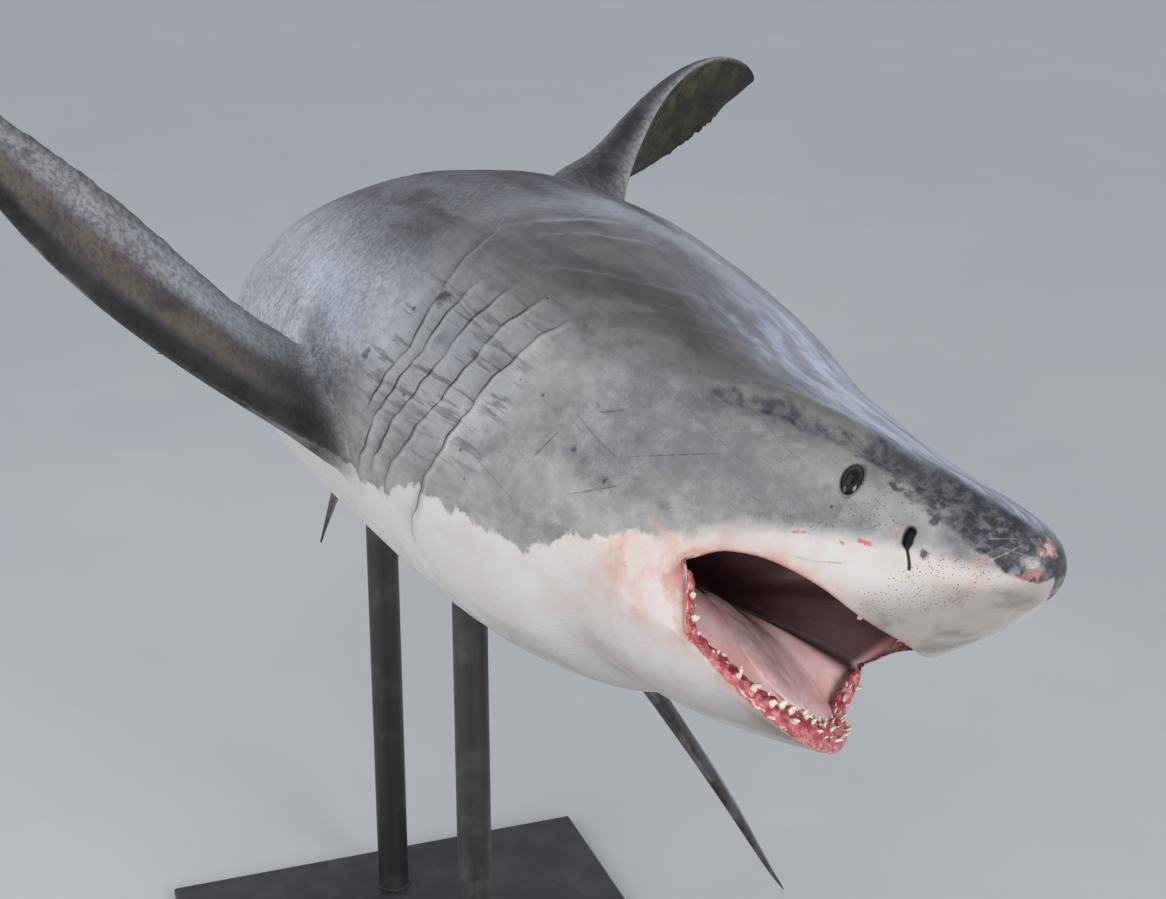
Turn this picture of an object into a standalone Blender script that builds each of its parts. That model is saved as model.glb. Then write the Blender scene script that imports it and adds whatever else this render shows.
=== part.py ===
"""Great white shark (Carcharodon carcharias): a life-size, still museum model on a display stand.

The animal is four metres long.  It is shaped straight, in a frame of its own (x towards the snout, y to the
left, z up, s = distance behind the snout tip), and is then laid along a bent spine: trunk rolled onto its
left side and rising a little, head turned to the left, jaws open.
"""
import math

import bmesh
import bpy
import numpy as np
from mathutils import Matrix, Vector

# --- driving dimensions, in metres and degrees -------------------------------------------------------------
GAP = 0.0003                      # clear gap between neighbouring pieces
FIN_GAP = 0.0005                  # the same under a fin's root, where the body's faces are warped

# (distance behind the snout tip, half width, height above and depth below the axis, rise of the axis)
STATIONS = np.array([
    (0.000, 0.000, 0.000, 0.000, 0.142),      # snout tip
    (0.034, 0.067, 0.056, 0.045, 0.130),
    (0.100, 0.122, 0.101, 0.078, 0.102),      # nostrils
    (0.175, 0.161, 0.139, 0.109, 0.072),      # front of the mouth
    (0.260, 0.202, 0.183, 0.147, 0.044),      # behind the eyes
    (0.360, 0.243, 0.230, 0.190, 0.017),      # mouth corners
    (0.480, 0.283, 0.280, 0.235, 0.000),
    (0.620, 0.321, 0.331, 0.272, 0.000),
    (0.780, 0.346, 0.368, 0.290, 0.000),      # gill slits
    (0.980, 0.352, 0.393, 0.285, 0.000),      # pectoral girdle
    (1.280, 0.345, 0.408, 0.278, 0.000),      # greatest depth
    (1.600, 0.328, 0.389, 0.275, 0.000),
    (1.930, 0.288, 0.342, 0.255, 0.000),
    (2.270, 0.236, 0.283, 0.215, 0.000),      # pelvic fins
    (2.600, 0.182, 0.218, 0.168, 0.000),
    (2.920, 0.132, 0.153, 0.118, 0.000),
    (3.160, 0.098, 0.107, 0.082, 0.000),      # tail stalk
    (3.420, 0.112, 0.079, 0.063, 0.000),      # side keels
    (3.600, 0.030, 0.035, 0.030, 0.000)])     # end, inside the tail fin
SQUARENESS = 2.15                 # exponent of the body's cross-section, 2 is an ellipse

REFERENCE = 1.40                  # station held over the middle of the stand
REFERENCE_PLACE = (0.0, 0.0, 1.36)
TRUNK_PITCH, TRUNK_ROLL = 10.0, -43.8
NECK_SPAN, HEAD_YAW, HEAD_PITCH, HEAD_ROLL = (0.42, 1.35), 22.2, 4.4, 7.7
TAIL_SPAN, TAIL_YAW, TAIL_PITCH = (1.70, 3.60), 34.0, 2.0

MOUTH_FRONT, MOUTH_LENGTH, MOUTH_BEND = 0.187, 0.180, 2.2
MOUTH_SHARE = 8 / 22              # share of the half girth that the mouth takes up
JAW_HINGE = (-0.443, 0.0, -0.030)
GAPE, JAW_SHIFT = 27.0, (0.020, 0.0, -0.046)
THROAT_SPAN = (0.36, 0.64)        # the opened jaw eases back into the throat over this stretch
PHARYNX, PHARYNX_HALF_WIDTH = (-0.56, -0.085), 0.07
PALATE_RISE, FLOOR_DROP = 0.065, 0.030

EYE_STATION, EYE_ANGLE, EYE_RADIUS, EYE_DEPTH = 0.222, 114.0, 0.0245, 0.0150
HEAD_END, GIRDLE, TRUNK_CUTS, TAIL_START = 0.64, 0.96, (1.60, 2.20), 2.92
CUT_REACH = 0.6                   # half the side of the thin blades that part the body

HALF_COLUMNS = 22                 # faces around half the girth
SNOUT_ROWS, THROAT_ROWS, POCKET_ROWS = 9, 7, 6
BODY_STEP = 0.13

# fins: s and angle of the root's front, height, base length, then how far back the tip lies behind the root's
# front; bow is the bulge of the leading edge, hollow that of the trailing edge, lobe the free rear tip; camber
# arches the section to one side, tip is the tip's chord as a share of the base and blunt how squarely it ends
FINS = {
    "first_dorsal_fin": dict(s=1.36, angle=180.0, lean=0.0, base=0.507, height=0.597, sweep=0.463, bow=-0.028,
                             hollow=0.118, lobe=0.030, thick=0.250, camber=0.048, tip=0.30, blunt=5,
                             pitch=-12.8, twist=-56.0, bend=-98.6),
    "second_dorsal_fin": dict(s=2.880, angle=180.0, lean=0.0, base=0.065, height=0.070, sweep=0.055, bow=0.006,
                              hollow=0.012, lobe=0.030, thick=0.014, pitch=0.0, twist=0.0, bend=0.0),
    "anal_fin": dict(s=2.950, angle=0.0, lean=0.0, base=0.060, height=0.070, sweep=0.060, bow=0.006,
                     hollow=0.012, lobe=0.030, thick=0.014, pitch=0.0, twist=0.0, bend=0.0),
    "pectoral_fin_right": dict(s=0.955, angle=-43.0, lean=-39.9, base=0.331, height=0.908, sweep=0.355, bow=0.096,
                               hollow=0.040, lobe=0.020, thick=0.140, pitch=-19.8, twist=-27.9, bend=-54.1),
    "pectoral_fin_left": dict(s=0.955, angle=53.0, lean=22.0, base=0.331, height=0.880, sweep=0.440, bow=0.085,
                              hollow=0.030, lobe=0.020, thick=0.110, pitch=8.0, twist=8.0, bend=8.0),
    "pelvic_fin_right": dict(s=2.180, angle=-38.0, lean=-12.0, base=0.170, height=0.150, sweep=0.130, bow=0.012,
                             hollow=0.020, lobe=0.030, thick=0.044, pitch=0.0, twist=0.0, bend=0.0),
    "pelvic_fin_left": dict(s=2.180, angle=38.0, lean=12.0, base=0.170, height=0.150, sweep=0.130, bow=0.012,
                            hollow=0.020, lobe=0.030, thick=0.044, pitch=0.0, twist=0.0, bend=0.0),
}
FIN_DEPTH = 0.09                  # how far a fin's root reaches into the body before it is cut to fit
FIN_SECTIONS, FIN_POINTS = 13, 10
FIN_STIFFNESS = 2.4               # the higher, the nearer to its tip a fin bends
TWIST_END, ROOT_FILLET = 0.87, 0.10   # shares of the height where the twist ends and the root's flare dies
EDGE_THICKNESS, LEAST_CHORD = 0.0012, 0.010

TAIL_LOBES = {"caudal_fin_upper": dict(height=0.560, side=1), "caudal_fin_lower": dict(height=0.490, side=-1)}
TAIL_ROOT, TAIL_FORK, TAIL_TIP = 3.300, 3.600, 3.990
TAIL_THICKNESS, TAIL_BOW, TAIL_TIP_CHORD = 0.060, 0.030, 0.012

# gums: distance inside the lips, radius, share of the mouth's side that they run along, and how far they
# stand off the lining in radii; the tongue's centre lies at TONGUE_SHARE of the way to the throat
GUM_INSET, GUM_RADIUS, GUM_REACH = 0.022, 0.011, 0.80
TEETH_UPPER = dict(count=24, height=0.024, width=0.021)
TEETH_LOWER = dict(count=24, height=0.019, width=0.013)
GUM_LIFT, TOOTH_HALF_DEPTH = 0.4, 0.0035
TONGUE_SIZE, TONGUE_TILT, TONGUE_SHARE = (0.085, 0.062, 0.020), 12.0, 0.62

BASE_SIZE, BASE_BEVEL = (0.90, 1.50, 0.020), 0.005
ROD_RADIUS, ROD_STATIONS = 0.032, (1.40, 2.02)


# --- small shared tools ------------------------------------------------------------------------------------
def smoothstep(value):
    t = np.clip(value, 0.0, 1.0)
    return t * t * (3.0 - 2.0 * t)


def through(x, knots, values):
    """Monotone cubic curve through (knots, values)."""
    step = np.diff(knots)
    slope = np.diff(values) / step
    tangent = np.zeros_like(values)
    tangent[0], tangent[-1] = slope[0], slope[-1]
    w1, w2 = 2 * step[1:] + step[:-1], step[1:] + 2 * step[:-1]
    rising = slope[:-1] * slope[1:] > 0
    before, after = np.where(rising, slope[:-1], 1.0), np.where(rising, slope[1:], 1.0)
    tangent[1:-1] = np.where(rising, (w1 + w2) / (w1 / before + w2 / after), 0.0)
    x = np.clip(x, knots[0], knots[-1])
    i = np.clip(np.searchsorted(knots, x) - 1, 0, len(step) - 1)
    t = (x - knots[i]) / step[i]
    h = step[i]
    return ((2 * t**3 - 3 * t**2 + 1) * values[i] + (t**3 - 2 * t**2 + t) * h * tangent[i]
            + (3 * t**2 - 2 * t**3) * values[i + 1] + (t**3 - t**2) * h * tangent[i + 1])


def turn(axis, degrees):
    return np.array(Matrix.Rotation(math.radians(degrees), 3, axis))


def skin_point(s, theta):
    """Point of the straight body at station s, theta degrees round from the belly line to the left."""
    s, theta = np.broadcast_arrays(s, theta)
    root, knots = np.sqrt(s), np.sqrt(STATIONS[:, 0])
    width, top, bottom, centre = (through(root, knots, STATIONS[:, k]) for k in (1, 2, 3, 4))
    across, up = np.sin(np.radians(theta)), -np.cos(np.radians(theta))
    swell = (np.abs(across)**SQUARENESS + np.abs(up)**SQUARENESS)**(-1 / SQUARENESS)
    height = np.where(up < 0, bottom, top)
    return np.stack([-s, width * swell * across, centre + height * swell * up], -1)


# --- the bent spine ----------------------------------------------------------------------------------------
def build_spine(count=401, start=-0.05, end=4.15):
    """Places and frames (columns: forward, left, up) along the spine, worked out from the reference station."""
    stations = np.linspace(start, end, count)
    step = stations[1] - stations[0]
    middle = int(np.argmin(np.abs(stations - REFERENCE)))
    places, frames = np.zeros((count, 3)), np.zeros((count, 3, 3))
    frames[middle] = turn('Z', -90) @ turn('Y', -TRUNK_PITCH) @ turn('X', TRUNK_ROLL)
    places[middle] = np.array(REFERENCE_PLACE)

    def share(s, span):
        t = np.clip((s - span[0]) / (span[1] - span[0]), 0, 1)
        return (1 - math.cos(2 * math.pi * t)) / (span[1] - span[0])

    def bend(s, distance):
        neck, tail = share(s, NECK_SPAN) * distance, share(s, TAIL_SPAN) * distance
        yaw, pitch = HEAD_YAW * neck + TAIL_YAW * tail, HEAD_PITCH * neck + TAIL_PITCH * tail
        return turn('Z', yaw) @ turn('Y', -pitch) @ turn('X', HEAD_ROLL * neck)

    for direction in (-1, 1):
        i = middle
        while 0 <= i + direction < count:
            j = i + direction
            frames[j] = frames[i] @ bend((stations[i] + stations[j]) / 2, -direction * step)
            forward = frames[i][:, 0] + frames[j][:, 0]
            places[j] = places[i] - direction * step * forward / np.linalg.norm(forward)
            i = j
    return stations, places, frames


SPINE = build_spine()


def spine_frame(s):
    stations, places, frames = SPINE
    k = np.clip((np.asarray(s, float) - stations[0]) / (stations[1] - stations[0]), 0, len(stations) - 1.001)
    i = k.astype(int)
    t = (k - i)[..., None]
    return places[i] * (1 - t) + places[i + 1] * t, frames[i] * (1 - t[..., None]) + frames[i + 1] * t[..., None]


def lay_along_spine(points):
    """Straight points to the world, each carried by its own station's frame."""
    place, frame = spine_frame(-points[..., 0])
    offset = points * np.array([0.0, 1.0, 1.0])
    return place + np.einsum('...ij,...j->...i', frame, offset)


def carry(points, s):
    """Straight points to the world, all carried rigidly by the frame at station s."""
    place, frame = spine_frame(s)
    return place + (points + np.array([s, 0.0, 0.0])) @ frame.T


# --- objects and materials ---------------------------------------------------------------------------------
def material(name, colour, roughness, metallic=0.0):
    surface = bpy.data.materials.new(name)
    surface.use_nodes = True
    shader = surface.node_tree.nodes["Principled BSDF"]
    shader.inputs["Base Color"].default_value = (*colour, 1.0)
    shader.inputs["Roughness"].default_value = roughness
    shader.inputs["Metallic"].default_value = metallic
    surface.diffuse_color = (*colour, 1.0)
    return surface


def add_object(name, collection, points, faces, surface=None):
    mesh = bpy.data.meshes.new(name)
    mesh.from_pydata([tuple(p) for p in points], [], faces)
    tool = bmesh.new()
    tool.from_mesh(mesh)
    bmesh.ops.recalc_face_normals(tool, faces=tool.faces)
    tool.to_mesh(mesh)
    tool.free()
    mesh.polygons.foreach_set("use_smooth", [True] * len(mesh.polygons))
    piece = bpy.data.objects.new(name, mesh)
    collection.objects.link(piece)
    if surface:
        mesh.materials.append(surface)
    return piece


def boolean(piece, cutter, operation='DIFFERENCE'):
    """Apply one exact Boolean to the piece and hide its cutter."""
    bool_mod = piece.modifiers.new(cutter.name, 'BOOLEAN')
    bool_mod.operation, bool_mod.solver, bool_mod.object = operation, 'EXACT', cutter
    solved = bpy.data.meshes.new_from_object(piece.evaluated_get(bpy.context.evaluated_depsgraph_get()))
    piece.modifiers.clear()
    piece.data = solved
    cutter.hide_render, cutter.display_type = True, 'WIRE'


def inflated(piece, distance, name, collection):
    """Copy of a piece moved out along its normals, used to cut its neighbours clear of it."""
    copy = bpy.data.objects.new(name, piece.data.copy())
    collection.objects.link(copy)
    tool = bmesh.new()
    tool.from_mesh(copy.data)
    tool.normal_update()
    moved = [vert.co + vert.normal * distance * vert.calc_shell_factor() for vert in tool.verts]
    for vert, place in zip(tool.verts, moved):
        vert.co = place
    tool.to_mesh(copy.data)
    tool.free()
    copy.hide_render, copy.display_type = True, 'WIRE'
    return copy


def loft(name, rings, collection, surface=None):
    """Closed skin over a stack of rings with the same count; both ends are capped."""
    count, around = rings.shape[:2]
    faces = [(r * around + k, r * around + (k + 1) % around,
              (r + 1) * around + (k + 1) % around, (r + 1) * around + k)
             for r in range(count - 1) for k in range(around)]
    faces.append(tuple(range(around)))
    faces.append(tuple((count - 1) * around + k for k in range(around)))
    return add_object(name, collection, rings.reshape(-1, 3), faces, surface)


# --- body with its open mouth ------------------------------------------------------------------------------
def mouth_line(share):
    """Station and angle of the lips, share 0 at the front of the mouth to 1 at its corner."""
    corner_angle = 180.0 * MOUTH_SHARE
    return (MOUTH_FRONT + MOUTH_LENGTH * share**MOUTH_BEND,
            corner_angle * np.sin(np.radians(90.0 * share)))


def open_jaw(points, weight):
    """Swing points down about the jaw hinge and slide them forward, each by its own weight."""
    hinge = np.array(JAW_HINGE)
    swung = (points - hinge) @ turn('Y', GAPE).T + hinge + np.array(JAW_SHIFT)
    return points + (swung - points) * weight[..., None]


def jaw_weight(column, s):
    """How far a point moves with the lower jaw: all of it on the chin, half at the mouth corner."""
    along = 1 - smoothstep((s - THROAT_SPAN[0]) / (THROAT_SPAN[1] - THROAT_SPAN[0]))
    spread = MOUTH_SHARE * (0.14 + 0.36 * smoothstep((s - THROAT_SPAN[0]) / 0.2))
    return along * (1 - smoothstep((column - MOUTH_SHARE + spread) / (2 * spread)))


def body_grid():
    """Front rows (snout tip to lips) and rear rows (lips to tail) of the left half, in the straight frame."""
    column = np.linspace(0, 1, HALF_COLUMNS + 1)
    lip_s, lip_angle = mouth_line(np.minimum(column / MOUTH_SHARE, 1))
    lip_angle = np.where(column > MOUTH_SHARE, 180 * column, lip_angle)

    part = np.linspace(0, 1, SNOUT_ROWS + 1)[:, None]**1.6
    angle = 180 * column * (1 - part) + lip_angle * part
    front = skin_point(lip_s * part, angle)
    near_corner = jaw_weight(column, lip_s) * np.where(column < MOUTH_SHARE, 0, 1)
    mirrored = np.where(column < MOUTH_SHARE, 1 - jaw_weight(column, lip_s), near_corner)
    front = open_jaw(front, mirrored * part**3)

    part = np.linspace(0, 1, THROAT_ROWS + 1)[:, None]
    stations = lip_s + (HEAD_END - lip_s) * part
    angle = lip_angle * (1 - part) + 180 * column * part
    throat = open_jaw(skin_point(stations, angle), jaw_weight(column, stations))

    end = STATIONS[-1, 0]
    rows = int(round((end - HEAD_END) / BODY_STEP))
    stations = np.linspace(HEAD_END, end, rows + 1)[1:, None]
    return front, np.concatenate([throat, skin_point(stations, 180 * column)])


def mouth_pocket(upper_lip, lower_lip):
    """Palate and floor of the mouth, from the lips back to the throat (left half, straight frame)."""
    share = np.linspace(0, 1, len(upper_lip))[None, :, None]
    part = (np.linspace(0, 1, POCKET_ROWS + 1)**1.4)[:, None, None]
    back_place = np.stack([np.full(len(upper_lip), PHARYNX[0]),
                           PHARYNX_HALF_WIDTH * share[0, :, 0],
                           np.full(len(upper_lip), PHARYNX[1])], -1)[None]
    up = np.array([0.0, 0.0, 1.0])
    arch = (1 - share**4) * np.sin(math.pi * np.sqrt(part))
    palate = upper_lip[None] * (1 - part) + back_place * part + up * PALATE_RISE * arch
    sag = (1 - share**4) * np.sin(math.pi * part)
    floor = lower_lip[None] * (1 - part) + back_place * part - up * FLOOR_DROP * sag
    return palate, floor


def build_body(collection, surface):
    """The whole body as one closed skin: snout, jaws, trunk and tail, with the lining of the mouth."""
    front, rear = body_grid()
    lips = round(HALF_COLUMNS * MOUTH_SHARE)
    palate, floor = mouth_pocket(front[-1, :lips + 1], rear[0, :lips + 1])
    points, index = [], {}

    def vertex(place, side, key):
        """Index of a mirrored grid point; points on the middle line are shared by both sides."""
        across = 0.0 if abs(place[1]) < 1e-6 else side * place[1]
        label = (key, 0 if across == 0.0 else side)
        if label not in index:
            index[label] = len(points)
            points.append((place[0], across, place[2]))
        return index[label]

    def front_key(r, c):
        if r == 0:
            return 'tip'
        return ('front', r, c) if r < SNOUT_ROWS or c < lips else ('rear', 0, c)

    def pocket_key(layer, k, c):
        if k == 0:
            return front_key(SNOUT_ROWS, c) if layer == 'palate' else ('rear', 0, c)
        shared = c == lips or k == POCKET_ROWS
        return ('pocket', k, c) if shared else (layer, k, c)

    faces = []

    def weave(grid, key):
        for side in (-1, 1):
            for r in range(grid.shape[0] - 1):
                for c in range(grid.shape[1] - 1):
                    corners = [(r, c), (r, c + 1), (r + 1, c + 1), (r + 1, c)]
                    face = []
                    for a, b in corners:
                        found = vertex(grid[a, b], side, key(a, b))
                        if found not in face:
                            face.append(found)
                    faces.append(face if side > 0 else face[::-1])

    rear[0, lips:] = front[-1, lips:]
    floor[:, lips] = palate[:, lips]
    floor[-1] = palate[-1]
    weave(front, front_key)
    weave(rear, lambda r, c: ('rear', r, c))
    weave(palate, lambda k, c: pocket_key('palate', k, c))
    weave(floor, lambda k, c: pocket_key('floor', k, c))
    last = [vertex(rear[-1, c], 1, ('rear', len(rear) - 1, c)) for c in range(HALF_COLUMNS + 1)]
    last += [vertex(rear[-1, c], -1, ('rear', len(rear) - 1, c)) for c in range(HALF_COLUMNS - 1, 0, -1)]
    faces.append(last)
    return add_object("body", collection, lay_along_spine(np.array(points)), faces, surface), palate, floor


# --- fins --------------------------------------------------------------------------------------------------
def fin_outline(fin, t):
    """Front and rear edge of a fin at height share t, measured back from the front of its root."""
    tip = fin["sweep"] * t
    front = tip - fin["bow"] * np.sin(math.pi * t)
    straight = fin["base"] + (fin["sweep"] + fin.get("tip", 0.10) * fin["base"] - fin["base"]) * t
    lobe = fin["lobe"] * np.exp(-((t - 0.10) / 0.07)**2)
    rear = straight - fin["hollow"] * np.sin(math.pi * t**0.8) + lobe
    rounded = np.sqrt(np.clip(1 - t**fin.get("blunt", 7), 0, 1))
    middle = front + 0.6 * (rear - front)
    return middle + (front - middle) * rounded, middle + (rear - middle) * rounded


def airfoil(bulge):
    """Closed loop round a section: share of the chord, bulge to each side, and the edge's least thickness."""
    chord = 0.5 - 0.5 * np.cos(math.pi * np.linspace(0, 1, FIN_POINTS // 2 + 1))
    out = bulge(chord)
    back = slice(-2, 0, -1)
    edge = np.concatenate([np.ones(len(chord)), -np.ones(len(chord) - 2)]) * EDGE_THICKNESS / 2
    return np.concatenate([chord, chord[back]]), np.concatenate([out, -out[back]]), edge


def fin_bulge(chord):
    """Thickness of a swimming fin along its chord: round in front, fine behind."""
    return 5 * (0.2969 * np.sqrt(chord) - 0.1260 * chord - 0.3516 * chord**2 + 0.2843 * chord**3
                - 0.1036 * chord**4)


def fin_rings(fin):
    """Sections of a fin from inside the body out to its tip, in the straight frame."""
    root = skin_point(fin["s"], fin["angle"])
    angle = math.radians(fin["angle"])
    span = turn('X', fin["lean"]) @ np.array([0.0, math.sin(angle), -math.cos(angle)])
    back = np.array([-1.0, 0.0, 0.0])
    chord, side, edge = airfoil(fin_bulge)

    def section(axis, t, bend, thick):
        leading, trailing = fin_outline(fin, t)
        spin = fin["pitch"] + fin["twist"] * smoothstep(t / TWIST_END)
        twist = np.array(Matrix.Rotation(math.radians(spin), 3, Vector(span)))
        run, across = bend @ twist @ back, bend @ twist @ np.cross(span, back)
        width = max(trailing - leading, LEAST_CHORD)
        camber = fin.get("camber", 0.0) * np.sin(math.pi * chord**0.6) * (1 - t)**0.7
        return (axis + back * leading + np.outer(chord * width, run)
                + np.outer(side * thick / 2 + edge + camber, across))

    rings = [section(root - span * FIN_DEPTH, 0.0, np.eye(3), fin["thick"])]
    axis, last = root, 0.0
    for t in np.linspace(0, 1, FIN_SECTIONS)**0.9:
        bend = turn('X', fin["bend"] * t**FIN_STIFFNESS)
        axis = axis + bend @ span * (t - last) * fin["height"]
        last = t
        fillet = math.exp(-(t / ROOT_FILLET)**2)
        rings.append(section(axis, t, bend, fin["thick"] / 2 * ((1 - t)**0.8 + fillet)))
    return np.array(rings)


def build_fin(name, fin, collection, body_cutter, surface):
    rings = carry(fin_rings(fin), fin["s"] + fin["base"] / 2)
    piece = loft(name, rings, collection, surface)
    boolean(piece, body_cutter)
    return piece


def build_tail_lobe(name, lobe, collection, body_cutter, surface):
    """One horn of the crescent tail fin, a stack of level airfoil sections."""
    chord, side, edge = airfoil(lambda chord: np.sin(math.pi * chord**0.6)**0.8)
    rings = []
    for t in np.linspace(0, 1, FIN_SECTIONS + 1):
        height = lobe["side"] * (GAP / 2 + lobe["height"] * t)
        leading = TAIL_ROOT + (TAIL_TIP - TAIL_ROOT) * t**0.92 - TAIL_BOW * math.sin(math.pi * t)
        trailing = TAIL_FORK + (TAIL_TIP + TAIL_TIP_CHORD - TAIL_FORK) * t**1.35
        thick = TAIL_THICKNESS / 2 * (1 - t)**1.2 + 2 * EDGE_THICKNESS
        middle, rounded = leading + 0.6 * (trailing - leading), math.sqrt(1 - min(t, 0.999)**9)
        leading, trailing = middle + (leading - middle) * rounded, middle + (trailing - middle) * rounded
        ring = np.stack([-(leading + chord * (trailing - leading)), side * thick + edge,
                         np.full(len(chord), height)], -1)
        rings.append(ring)
    piece = loft(name, lay_along_spine(np.array(rings)), collection, surface)
    boolean(piece, body_cutter)
    return piece


# --- eyes, gums, teeth and tongue --------------------------------------------------------------------------
def eye_centre(side):
    at = skin_point(EYE_STATION, side * EYE_ANGLE)
    ahead = skin_point(EYE_STATION - 0.01, side * EYE_ANGLE) - at
    around = skin_point(EYE_STATION, side * (EYE_ANGLE + 2)) - at
    outward = np.cross(ahead, around) * -side
    return at - EYE_DEPTH * outward / np.linalg.norm(outward)


def build_ball(name, centre, radius, collection, surface):
    tool = bmesh.new()
    bmesh.ops.create_uvsphere(tool, u_segments=16, v_segments=8, radius=radius)
    mesh = bpy.data.meshes.new(name)
    tool.to_mesh(mesh)
    tool.free()
    mesh.polygons.foreach_set("use_smooth", [True] * len(mesh.polygons))
    ball = bpy.data.objects.new(name, mesh)
    collection.objects.link(ball)
    ball.location = centre
    if surface:
        mesh.materials.append(surface)
    return ball


def gum_line(lip, inner, reach):
    """Middle line of a gum, just inside the lips; both sides of the mouth, left to right."""
    share = np.linspace(0, 1, len(lip))
    inward = inner - lip
    line = lip + GUM_INSET * inward / np.linalg.norm(inward, axis=1)[:, None]
    keep = line[share <= reach]
    return np.concatenate([keep[::-1], keep[1:] * np.array([1.0, -1.0, 1.0])])


def build_gum(name, line, up, teeth, collection, cutters, body_cutter, surface):
    """A gum ridge with its row of teeth standing on it."""
    count, rings = len(line), []
    along = np.gradient(line, axis=0)
    along /= np.linalg.norm(along, axis=1)[:, None]
    for i in range(count):
        taper = math.sin(math.pi * (0.06 + 0.88 * i / (count - 1)))**0.35
        across = np.cross(along[i], up)
        around = np.radians(np.arange(0, 360, 60))[:, None]
        middle = line[i] + GUM_LIFT * GUM_RADIUS * up
        rings.append(middle + GUM_RADIUS * taper * (np.cos(around) * across + np.sin(around) * up))
    gum = loft(name, lay_along_spine(np.array(rings)), collection, surface)
    boolean(gum, body_cutter)

    # teeth: four-sided spikes along the ridge, smaller towards the corners of the mouth
    steps = np.concatenate([[0], np.cumsum(np.linalg.norm(np.diff(line, axis=0), axis=1))])
    points, faces = [], []
    for k in range(teeth["count"]):
        place = steps[-1] * (0.05 + 0.90 * (k + 0.5) / teeth["count"])
        root = np.array([np.interp(place, steps, line[:, axis]) for axis in range(3)])
        run = np.array([np.interp(place, steps, along[:, axis]) for axis in range(3)])
        size = 0.45 + 0.55 * math.sin(math.pi * place / steps[-1])
        across, tall = np.cross(run, up), 1.3 * GUM_RADIUS + teeth["height"] * size
        half = teeth["width"] * size / 2
        first = len(points)
        foot = root + 0.5 * GUM_RADIUS * up
        for a, b in ((-1, -1), (1, -1), (1, 1), (-1, 1)):
            points.append(foot + a * half * run + b * TOOTH_HALF_DEPTH * across)
        points.append(root + tall * up)
        faces.append([first + 3, first + 2, first + 1, first])
        faces += [[first + i, first + (i + 1) % 4, first + 4] for i in range(4)]
    row = add_object(name + "_teeth", cutters, lay_along_spine(np.array(points)), faces, surface)
    boolean(gum, row, 'UNION')
    return gum


def build_tongue(collection, body_cutter, floor, surface):
    row = round(POCKET_ROWS * TONGUE_SHARE)
    centre = floor[row, 0] * np.array([1.0, 0.0, 1.0])
    tongue = build_ball("tongue", (0, 0, 0), 1.0, collection, surface)
    local = np.array([tuple(vert.co) for vert in tongue.data.vertices]) * np.array(TONGUE_SIZE)
    placed = lay_along_spine(local @ turn('Y', TONGUE_TILT).T + centre)
    for vert, place in zip(tongue.data.vertices, placed):
        vert.co = place
    boolean(tongue, body_cutter)
    return tongue


# --- parting the body --------------------------------------------------------------------------------------
def blade(name, corners, half_width, s, collection):
    """A thin upright sheet through the side-view corners (x, z), reaching half_width to each side."""
    corners = np.array(corners)
    run = np.gradient(corners, axis=0)
    run /= np.linalg.norm(run, axis=1)[:, None]
    normal = np.stack([-run[:, 1], run[:, 0]], -1) * GAP / 2
    outline = np.concatenate([corners + normal, (corners - normal)[::-1]])
    rings = np.array([[(x, y, z) for x, z in outline] for y in (-half_width, half_width)])
    return loft(name, carry(rings, s), collection)


def part_body(body, collection, cutters, surface):
    """Cut the finished skin into head, lower jaw, gill region, trunk lengths and tail stalk."""
    corner = open_jaw(skin_point(*mouth_line(np.array(1.0))), np.array(0.5))
    x, z = corner[0] + 0.010, corner[2]
    chin_run = [(x - 0.19, z - 0.30), (x, z), (0.10, z - 0.075)]
    jaw_cut = blade("jaw_cut", chin_run, CUT_REACH, 0.0, cutters)
    boolean(body, jaw_cut)
    for k, s in enumerate((HEAD_END, GIRDLE, *TRUNK_CUTS, TAIL_START)):
        cut = blade(f"trunk_cut_{k}", [(-s, -CUT_REACH), (-s, CUT_REACH)], CUT_REACH, s, cutters)
        boolean(body, cut)

    names = ["head", "lower_jaw", "gill_region", "trunk_front", "trunk_middle", "trunk_rear", "tail_stalk"]
    tool = bmesh.new()
    tool.from_mesh(body.data)
    left, islands = set(tool.verts), []
    while left:
        reach, island = [left.pop()], set()
        while reach:
            vert = reach.pop()
            island.add(vert.index)
            for edge in vert.link_edges:
                other = edge.other_vert(vert)
                if other in left:
                    left.remove(other)
                    reach.append(other)
        islands.append(island)
    tool.free()
    marks = [spine_frame(s)[0] for s in (0.30, 0.30, 0.80, 1.30, 1.90, 2.55, 3.30)]
    marks[1] = lay_along_spine(open_jaw(skin_point(0.26, 0.0), np.array(1.0)) + np.array([0.0, 0.0, 0.01]))
    places = np.array([tuple(vert.co) for vert in body.data.vertices])
    centres = np.array([places[sorted(island)].mean(axis=0) for island in islands])
    for name, mark in zip(names, marks):
        nearest = int(np.argmin(np.linalg.norm(centres - mark, axis=1)))
        keep = islands[nearest]
        piece = bpy.data.objects.new(name, body.data.copy())
        piece.data.name = name
        collection.objects.link(piece)
        tool = bmesh.new()
        tool.from_mesh(piece.data)
        bmesh.ops.delete(tool, geom=[vert for vert in tool.verts if vert.index not in keep], context='VERTS')
        tool.to_mesh(piece.data)
        tool.free()
    bpy.data.objects.remove(body, do_unlink=True)


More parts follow.
